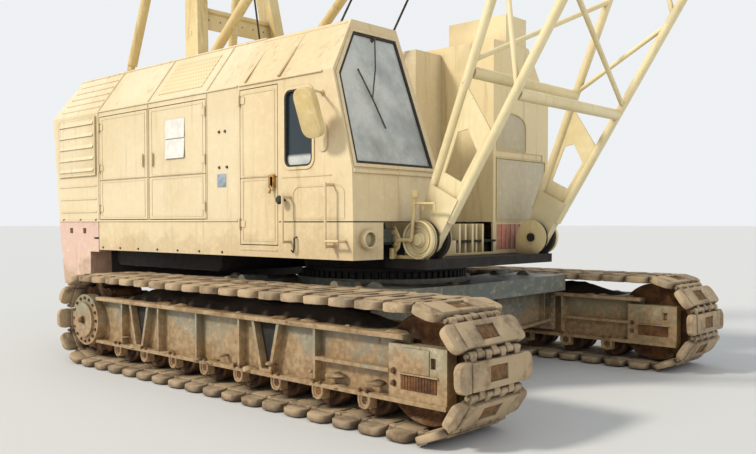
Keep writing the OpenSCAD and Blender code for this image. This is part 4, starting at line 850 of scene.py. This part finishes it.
def build_doors():
    """Folded edges of the four side doors."""
    for side, s, word in (("r", -1, "right"), ("l", 1, "left")):
        for number, end, rear, front in ((1, "rear", 0.054, 0.038), (2, "front", 0.038, 0.054)):
            lo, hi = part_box(f"side_door_{side}{number}")
            leaf = Piece(f"door_fittings_{side}{number}", "house", "body_paint", f"door_{word}_{end}")
            for z0, z1 in ((DOOR_Z0 + 0.05, 1.858), (1.882, hi.z - 0.02)):
                line = [Vector((x, s * SIDE_Y, z)) for x, z in rect(lo.x + rear, z0, hi.x - front, z1)]
                rim(leaf, line, (0, s, 0), -0.012, 0.0, -0.002, 0.0035)
            leaf.done()


# Cab


def build_cab():
    """Window rubbers, seams, ledges and small fittings of the cab and its door."""
    trim = Piece("cab_trim", "body", "body_paint")
    rubber = Piece("window_rubbers", "rubber")
    screen = [pane_point(y, z) for y, z in SCREEN]
    rim(rubber, screen, SCREEN_NORMAL, -0.016, 0.004, -0.02, 0.006)
    rim(trim, screen, SCREEN_NORMAL, 0.006, 0.034, -0.004, 0.009)
    side = upright(rounded(0.243, 1.878, 0.576, 2.51, 0.06), -SIDE_Y)
    rim(rubber, side, TO_RIGHT, -0.012, 0.004, -0.02, 0.006)
    rim(trim, side, TO_RIGHT, 0.004, 0.028, -0.004, 0.008)
    inner = rounded(-0.25, 1.95, 0.56, 2.85, 0.06)
    inner = [at(x, -0.42 - (z - SILL[1]) * SIDE_RUN / RISE, z) for x, z in inner]
    rim(rubber, inner, Vector((0, SIDE_RUN, RISE)).cross(Vector((-1, 0, 0))), -0.012, 0.012, -0.02, 0.006)
    rubber.done()
    # Seams across the cab's chamfer, gutter along its roof edge
    for x, radius in ((0.155, 0.014), (-0.3, 0.007)):
        trim.rod(at(x, -SIDE_Y, CHAMFER_Z + 0.02), at(x, -ROOF_Y, ROOF_Z - 0.02), radius, 10)
    y, z = -ROOF_Y - 0.016, ROOF_Z - 0.03
    trim.rod(at(CAB_REAR_X, y, z), at(0.66, y, z), 0.011, 8)
    # Ledge under the windscreen, gutter over the door and the fixed window, pressed lines below
    trim.brick(at(0.985, -SIDE_Y + 0.01, 1.8), at(1.046, -0.43, SILL[1]), 0.006)
    y, z = -SIDE_Y - 0.003, CHAMFER_Z - 0.004
    trim.brick(at(CAB_REAR_X + 0.02, y - 0.009, z - 0.008), at(0.7, y + 0.009, z + 0.008))
    seam = arc(0.87, 1.63, 0.08, 0, 90, 6) + arc(0.416, 1.63, 0.08, 90, 90, 6)
    rim(trim, upright([(0.336, 1.44), (0.95, 1.44)] + seam, -SIDE_Y), TO_RIGHT, -0.008, 0.0, -0.002, 0.004)
    trim.rod(at(0.2, -SIDE_Y, 1.79), at(0.8, -SIDE_Y, 1.79), 0.006, 6)
    # Small round-ended fuse cover by the mirror
    trim.slab(from_axis(rounded(0.655, 1.98, 0.76, 2.2, 0.05)), -SIDE_Y - 0.012, -SIDE_Y + 0.002, "xzy")
    # Step plate on the skirt
    trim.brick(at(-0.36, -SIDE_Y - 0.004, 1.165), at(0.14, -SIDE_Y + 0.004, 1.185), 0.002)
    trim.done()
    # Black strip along the cab's lower edge as painted shadow under its lip, and the black knob and the hook
    # by the first rail
    shadow_line_and_knob = Piece("cab_floor_shadow_line_and_knob", "rubber")
    shadow_line_and_knob.brick(at(0.16, -SIDE_Y - 0.002, 1.412), at(1.042, -SIDE_Y + 0.004, 1.421), 0.001)
    shadow_line_and_knob.brick(at(1.036, -SIDE_Y + 0.004, 1.412), at(1.043, -0.42, 1.421), 0.001)
    knob = [(0, 0), (0.012, 0), (0.012, 0.04), (0.034, 0.05), (0.038, 0.066), (0.026, 0.08), (0, 0.084)]
    shadow_line_and_knob.lathe(knob, at(0.235, -SIDE_Y, 1.6), TO_RIGHT, 20)
    hook = upright([(0.385, 1.28), (0.385, 1.2), (0.37, 1.16), (0.35, 1.18)], -SIDE_Y - 0.03)
    shadow_line_and_knob.sweep([at(0.385, -SIDE_Y, 1.29)] + hook, 0.007, 8)
    shadow_line_and_knob.done()
    latch = Piece("cab_door_latch", "brass", "rusty_steel", "cab_entrance_door")
    latch.brick(at(0.05, -SIDE_Y - 0.03, 1.705), at(0.118, -SIDE_Y + 0.002, 1.82), 0.008)
    latch.rod(at(0.085, -SIDE_Y - 0.045, 1.66), at(0.085, -SIDE_Y - 0.02, 1.73), 0.01, 8)
    latch.done()
    leaf = Piece("cab_door_edges", "body", "body_paint", "cab_entrance_door")
    x0, x1, z0, z1 = ENTRY
    for low, high in ((z0 + 0.03, 1.788), (1.814, z1 - 0.03)):
        line = upright(rect(x0 + 0.03, low, x1 - 0.03, high), -SIDE_Y)
        rim(leaf, line, TO_RIGHT, -0.01, 0.0, -0.002, 0.0035)
    leaf.done()
    build_wiper()
    build_mirror()
    build_seat()
    lamp = Piece("front_lamp", "lens")
    lens = [(0, -0.01), (0.052, -0.01), (0.052, 0.004), (0.04, 0.014), (0, 0.02)]
    lamp.lathe(lens, at(1.048, *LAMP), ALONG)
    lamp.done()
    ring = Piece("lamp_ring", "body", "body_paint")
    for r, x in ((0.085, 1.03), (0.066, 1.083)):
        ring.sweep([at(x, y, z) for y, z in arc(*LAMP, r, 0, 360, 36)], 0.009, 8, closed=True)
    ring.done()


def build_wiper():
    wiper = Piece("wiper", "steel", "dark_steel")
    pivot = pane_point(-0.95, 2.95, 0.03)
    tip = pane_point(-1.12, 2.42, 0.022)
    wiper.rod(pane_point(-0.95, 2.95, -0.01), pivot, 0.014, 12)
    wiper.sweep([pivot, (pivot + tip) / 2 + Vector((0.02, 0, 0)), tip], 0.006, 8)
    wiper.sweep([pane_point(-1.22, 2.66, 0.014), tip, pane_point(-1.02, 2.18, 0.014)], 0.007, 8)
    wiper.done()


def build_mirror():
    """Cream mirror housing with rounded ends, in front of the side window."""
    mirror = Piece("mirror_housing", "gantry", "body_paint")
    place = Matrix.Translation(at(0.76, -1.7, 2.265)) @ Matrix.Rotation(radians(20), 4, "X")
    mirror.slab(rounded(-0.112, -0.2, 0.112, 0.2, 0.085), -0.032, 0.028, "xzy", 0.018, place)
    mirror.done()


def cushion(name, lo, hi, crown):
    """A stuffed pad with a crowned middle, pulled-in sides and two seams round it."""
    mid, size = (lo + hi) / 2, (hi - lo) / 2
    bm = bmesh.new()
    bmesh.ops.create_cube(bm, size=2.0)
    bmesh.ops.subdivide_edges(bm, edges=bm.edges[:], cuts=9, use_grid_fill=True)
    for v in bm.verts:
        x, y, z = v.co
        swell = (1 - x * x) * (1 - y * y)
        pull = 1 - 0.05 * (1 - abs(z)) - 0.03 * (x * x * y * y)
        pull *= 1 - 0.10 * max(0.0, abs(z) - 0.5)
        v.co = Vector((x * pull * size.x, y * pull * size.y, z * (0.82 + 0.18 * swell * crown) * size.z))
    pad = Piece(name, "cover", "seat_cover")
    pad.take(bm, Matrix.Translation(mid))
    for z in (-0.55, 0.55):
        loop = []
        for c, n in arc(0, 0, 1, 0, 360, 40):
            square = 0.965 * (abs(c) ** 8 + abs(n) ** 8) ** (-1 / 8)
            loop.append(mid + Vector((c * square * size.x, n * square * size.y, z * size.z)))
        pad.sweep(loop, 0.006, 6, closed=True)
    obj = pad.done(smooth=70)


def build_seat():
    """Seat on its stand, pedals, and the console with its levers."""
    stand = Piece("seat_stand", "machine", "machinery")
    stand.brick(at(-0.12, -1.11, FLOOR_Z), at(0.16, -0.83, FLOOR_Z + 0.06), 0.01)
    stand.brick(at(-0.06, -1.05, FLOOR_Z + 0.05), at(0.1, -0.89, FLOOR_Z + 0.28), 0.02)
    stand.brick(at(-0.14, -1.13, FLOOR_Z + 0.26), at(0.18, -0.81, FLOOR_Z + 0.3), 0.01)
    for y in (-1.18, -0.79):
        stand.brick(at(0.52, y, FLOOR_Z), at(0.61, y + 0.06, FLOOR_Z + 0.52), 0.01)
    stand.brick(at(0.5, -1.18, FLOOR_Z + 0.515), at(0.7, -0.73, FLOOR_Z + 0.57), 0.015)
    ball = [(0, -0.02), (0.02, -0.012), (0.022, 0.005), (0.012, 0.02), (0, 0.022)]
    for y in (-1.12, -1.01, -0.9, -0.79):
        stand.rod(at(0.6, y, FLOOR_Z + 0.56), at(0.55, y, FLOOR_Z + 0.76), 0.008, 8)
        stand.lathe(ball, at(0.545, y, FLOOR_Z + 0.77), UP, 16)
    for y in (-1.05, -0.87):
        stand.brick(at(0.62, y - 0.04, FLOOR_Z + 0.04), at(0.74, y + 0.04, FLOOR_Z + 0.07), 0.006)
    stand.done(replaces=["seat"])
    cushion("seat_cushion", at(-0.21, -1.21, FLOOR_Z + 0.298), at(0.28, -0.73, FLOOR_Z + 0.42), 1.0)
    cushion("seat_back", at(-0.27, -1.2, FLOOR_Z + 0.42), at(-0.15, -0.74, FLOOR_Z + 0.98), 0.2)


# Front


def build_front():
    """Boom foot with its drum and linkage, the open bays and the plates of the front block."""
    foot = Piece("boom_foot_plates", "gantry", "body_paint")
    ear = from_axis(arc(*FOOT, 0.166, -60, 240, 20) + [(1.074, 1.1), (1.32, 1.1)])
    for s in BOTH:
        for y, out in ((0.9235, 0.0055), (0.7365, -0.0055)):
            foot.slab(ear, s * y, s * (y + out), "xzy", 0.0015)
    foot.brick(at(1.0, -0.957, 1.112), at(1.3, -0.929, 1.142))
    foot.brick(at(1.022, -0.95, 1.112), at(1.042, 0.49, 1.136), 0.003)
    foot.done()
    drum = Piece("foot_pin_drums", "boom", "body_paint")
    profile = [(0, -0.02), (0.15, -0.02), (0.158, 0.0), (0.158, 0.03), (0.151, 0.036), (0.143, 0.03)]
    profile += [(0.138, 0.012), (0.112, 0.006), (0.108, 0.014), (0.098, 0.014), (0.094, 0.004)]
    profile += [(0.066, 0.003), (0.06, 0.016), (0.05, 0.022), (0.046, 0.034), (0, 0.036)]
    for s in BOTH:
        drum.lathe(profile, at(FOOT[0], s * 0.943, FOOT[1]), (0, s, 0), 48)
    drum.done()
    link = Piece("foot_linkage", "gantry", "body_paint")
    y = -0.985
    link.sweep(upright([(1.2, 1.27), (1.215, 1.45), (1.235, 1.64)], y), 0.017, 12)
    link.lathe([(0, -0.03), (0.026, -0.03), (0.032, 0), (0.026, 0.03), (0, 0.03)], at(1.236, y, 1.64), UP, 20)
    link.rod(at(1.235, y, 1.565), at(1.44, y, 1.56), 0.01, 10)
    link.rod(at(1.44, y, 1.56), at(1.44, y, 1.5), 0.01, 10)
    link.rod(at(1.06, y, 1.265), at(1.2, y, 1.27), 0.016, 10)
    plate = [(1.0, 1.2), (0.985, 1.3), (1.0, 1.385), (1.02, 1.385), (1.09, 1.27), (1.07, 1.2), (1.035, 1.165)]
    link.slab(from_axis(plate), y - 0.006, y + 0.006, "xzy", 0.003)
    for x, z in ((1.015, 1.33), (1.045, 1.235), (1.06, 1.265), (1.2, 1.27)):
        link.pin(at(x, y, z), ACROSS, 0.018, 0.02, 16)
    link.brick(at(0.985, -1.02, 1.11), at(1.02, -0.96, 1.2), 0.006)
    link.rod(at(0.99, -1.12, 1.13), at(0.99, -1.12, 1.42), 0.017, 12)
    link.done()
    box = Piece("foot_bracket", "ochre", "ochre_paint")
    box.brick(at(1.0, -0.68, 1.425), at(1.06, -0.5, 1.56), 0.012)
    box.done()
    panel = Piece("square_panel", "panel", "ochre_paint")
    panel.brick(at(BLOCK_X - 0.009, 0.56, 1.437), at(BLOCK_X + 0.006, 1.42, 2.03), 0.006)
    arch = [(0.565, 2.13), (1.06, 2.13)]
    arch += [(0.8125 + 0.2475 * c, 2.36 + 0.12 * n) for c, n in arc(0, 0, 1, 0, 180, 12)]
    panel.slab(arch, AXIS_X + BLOCK_X - 0.012, AXIS_X + BLOCK_X + 0.002, "yzx", 0.003)
    panel.done()
    frames = Piece("front_block_trim", "gantry", "ochre_paint")
    for outline, low, high in ((rect(0.556, 1.433, 1.424, 2.034), -0.004, 0.009), (arch, -0.012, 0.006)):
        rim(frames, [at(BLOCK_X, y, z) for y, z in outline], ALONG, 0.0, 0.01, low, high)
    frames.done()
    back = Piece("grille_sheet", "stripe", "ochre_paint")
    back.brick(at(BLOCK_X - 0.016, 0.562, 1.152), at(BLOCK_X - 0.003, 1.228, 1.393), 0.001)
    back.done()
    bay = Piece("bay_plates", "ochre", "ochre_paint")
    for y, x in ((-0.1, 1.024), (0.02, 1.0), (0.1, 1.022), (0.19, 1.0), (0.26, 1.022)):
        bay.brick(at(x - 0.14, y - 0.014, 1.12), at(x, y + 0.014, 1.4))
    bay.done()
    # Near-black pan with ribs and two plates, before the counterweight and behind the front bays: painted
    # shade of the dark gap under the house
    pan = Piece("under_house_shade_sheets", "deck", "frame_paint")
    pan.brick(at(0.84, -0.6, 1.1), at(0.862, 0.49, 1.232), 0.002)
    pan.brick(at(-2.886, -1.36, 0.705), at(-2.87, 1.5, 1.118), 0.003)
    side = [(-2.87, 1.118), (-2.87, 0.98), (-2.8, 0.94), (-0.98, 0.94), (-0.91, 0.98), (-0.91, 1.118)]
    pan.slab(from_axis(side), -1.3, 1.3, "xzy", 0.012)
    for x in (-2.5, -2.0, -1.5):
        pan.brick(at(x - 0.02, -1.28, 0.932), at(x + 0.02, 1.28, 0.945), 0.003)
    pan.done()


# Gantry, roof rods and ropes


def build_gantry():
    rods = Piece("roof_rods", "steel", "dark_steel")
    for s in BOTH:
        rods.rod(at(-2.06, s * 0.6, ROOF_Z + 0.06), at(-0.42, s * 0.62, ROOF_Z + 0.05), 0.014, 8)
        rods.pin(at(-0.42, s * 0.62, ROOF_Z + 0.03), UP, 0.03, 0.03, 14)
    rods.done()
    # Bolts of the feet on the roof, and of the cross plate
    bolts = Piece("gantry_bolts", "rusty", "rusty_steel")
    for x, y, half in ((-2.2814, 0.614, 0.06), (-2.06, 0.59, 0.042), (-3.5, 0.74, 0.042)):
        for s, dx, e in product(BOTH, (-0.072, 0.072), BOTH):
            bolts.bolt(at(x + dx, s * y + e * half, ROOF_Z + 0.014), UP, 0.02)
    for k in range(6):
        bolts.bolt(at(-2.372, -0.4 + k * 0.16, 3.74), (1, 0, 0.155), 0.026)
    bolts.done()
    loops = Piece("gantry_rope_turns", "rope", "rope")
    for y in (-0.19, -0.1, 0.1, 0.19):
        loops.sweep(upright(arc(*GANTRY, SHEAVE_R, 0, 360, 40), y), 0.011, 8, closed=True)
    loops.done()
    winds = Piece("drum_rope", "rope", "rope")
    pitch = 0.026
    for x, z, r, w in ((-1.1, 1.74, 0.198, 0.9), (-1.64, 1.66, 0.162, 0.7)):
        path = []
        for k in range(int((w - 0.06) / pitch) * 20):
            a = 2 * pi * k / 20
            path.append(at(x + r * cos(a), -w / 2 + 0.03 + pitch * k / 20, z + r * sin(a)))
        winds.sweep(path, 0.012, 6)
    winds.done()
    # Luffing rope from its drum up to the gantry head
    lead = Piece("luffing_rope_lead", "rope", "rope")
    lead.sweep(upright([(-1.64, 1.82), (-1.95, 3.0), (GANTRY[0] + SHEAVE_R, GANTRY[1])], 0.1), 0.011, 8)
    lead.done()


def build_hoist_ropes():
    """Hoist ropes from the drum through the roof slot to the head sheaves."""
    for name, y, x, z in (("hoist_rope_a", -0.15, -0.75, 3.05), ("hoist_rope_b", -0.05, -0.42, 2.4)):
        rope = Piece(name, "rope", "rope", None)
        slot = at(x, y, z)
        run = on_boom(13.98, y, 0.27) - slot
        count = 60
        rope.sweep([at(-0.95, y, 1.88)] + [slot + run * (k / count) for k in range(count + 1)], 0.011, 8)
        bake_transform(rope.done())


# Boom


def build_boom():
    joints = Piece("boom_joints", "boom", "boom_paint", "boom")
    pins = Piece("boom_joint_pins", "rusty", "rusty_steel", "boom")
    along = Vector((cos(LUFF), 0, sin(LUFF)))
    up = Vector((-sin(LUFF), 0, cos(LUFF)))
    sleeve = [(0, -0.1), (0.058, -0.1), (0.066, -0.09), (0.066, -0.012), (0.085, -0.012)]
    sleeve += [(r, -t) for r, t in reversed(sleeve)]
    for left, rear in product(BOTH, BOTH):
        mid = on_boom(SPLICE_S, left * CHORD[0], rear * CHORD[1])
        joints.lathe(sleeve, mid, along, 24)
        for c, n in arc(0, 0, 1, 30, 360, 6):
            out = up * c + Vector(ACROSS) * n
            pins.bolt(mid + out * 0.0755 + along * 0.012, along, 0.016)
            pins.bolt(mid + out * 0.0755 - along * 0.012, -along, 0.016)
    joints.done()
    # Keeper bolts at the head
    for s in BOTH:
        pins.bolt(on_boom(13.46, s * 0.437, 0.19), (0, s, 0), 0.03)
    pins.done()
    guard = Piece("head_rope_guard", "gantry", "boom_paint", "boom")
    for s, h in ((13.78, 0.245), (13.72, 0.2)):
        guard.rod(on_boom(s, -0.41, h), on_boom(s, 0.41, h), 0.013, 8)
    guard.done()


def build_block():
    """Bolts of the hook block and the latch of its hook."""
    lo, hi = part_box("hook_block")
    trim = Piece("hook_block_bolts", "rusty", "rusty_steel", "block")
    for s, dz, dx in product(BOTH, (0.06, 0.55), (-0.05, 0.05)):
        trim.bolt(Vector((hi.x - 0.17 + dx, s * 0.224, lo.z + dz)), (0, s, 0), 0.03)
    trim.done()
    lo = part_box("hook")[0]
    latch = Piece("hook_latch", "rods", None, "swivel_hook")
    latch.sweep([(lo.x + x, 0, lo.z + z) for x, z in ((0.1, 0.27), (0.19, 0.2), (0.24, 0.14))], 0.008, 8)
    latch.done()


# Stage


def build_stage():
    mesh = bpy.data.meshes.new("floor")
    side = 400.0
    mesh.from_pydata([(x, y, 0) for x, y in rect(-side, -side, side, side)], [], [(0, 1, 2, 3)])
    floor = bpy.data.objects.new("floor", mesh)
    bpy.context.scene.collection.objects.link(floor)
    mesh.materials.append(Shader("pale_floor").finish("#d9d8d4", 0.9))


def aimed(name, data, direction):
    """A lamp or camera that looks along a direction."""
    obj = bpy.data.objects.new(name, data)
    obj.rotation_mode = "QUATERNION"
    obj.rotation_quaternion = Vector(direction).to_track_quat("-Z", "Y")
    bpy.context.scene.collection.objects.link(obj)
    return obj


def build_light():
    """Low warm sun, cool fill and soft sky. The camera, gloss and glass see a pale backdrop."""
    scene = bpy.context.scene
    scene.view_settings.view_transform = "Standard"
    world = bpy.data.worlds.new("studio")
    scene.world = world
    world.use_nodes = True
    n = Nodes(world.node_tree)
    n.tree.nodes.clear()
    sky = n.make("Background", {"Color": (0.86, 0.92, 1.0, 1), "Strength": 0.62})
    backdrop = n.make("Background", {"Color": (0.86, 0.88, 0.9, 1), "Strength": 1.0})
    rays = n.make("LightPath", {}).outputs
    seen = rays["Is Camera Ray"]
    for name in ("Is Glossy Ray", "Is Transmission Ray"):
        seen = n.maths("MAXIMUM", seen, rays[name])
    mix = n.make("MixShader", {0: seen, 1: sky.outputs[0], 2: backdrop.outputs[0]})
    n.make("OutputWorld", {"Surface": mix.outputs[0]})
    for name, direction, power, size, colour in (
        ("key", (0.55, 1.0, -0.85), 2.5, 9.0, (1.0, 0.95, 0.86)),
        ("fill", (-1.0, 0.5, -0.5), 0.45, 50.0, (0.9, 0.95, 1.0)),
    ):
        lamp = bpy.data.lights.new(name, "SUN")
        lamp.energy = power
        lamp.angle = radians(size)
        lamp.color = colour
        aimed(name, lamp, direction)


def build_camera():
    """The photograph's camera: eye level, close in front of the right front corner."""
    image_w, image_h = 756, 454
    focal_px, middle_y = 808.2, 248.352
    yaw, pitch = radians(42.651), radians(1.782)
    data = bpy.data.cameras.new("camera")
    data.sensor_width = 36.0
    data.lens = focal_px * data.sensor_width / image_w
    data.shift_y = (middle_y - image_h / 2) / image_w
    data.clip_end = 600
    camera = aimed("camera", data, (-sin(yaw) * cos(pitch), cos(yaw) * cos(pitch), -sin(pitch)))
    camera.location = at(5.435, -5.985, 1.405)
    bpy.context.scene.camera = camera


build_camera()
build_light()
build_stage()
dress_nodes()
build_tracks()
build_undercarriage()
build_house()
build_doors()
build_cab()
build_front()
build_gantry()
build_hoist_ropes()
build_boom()
build_block()
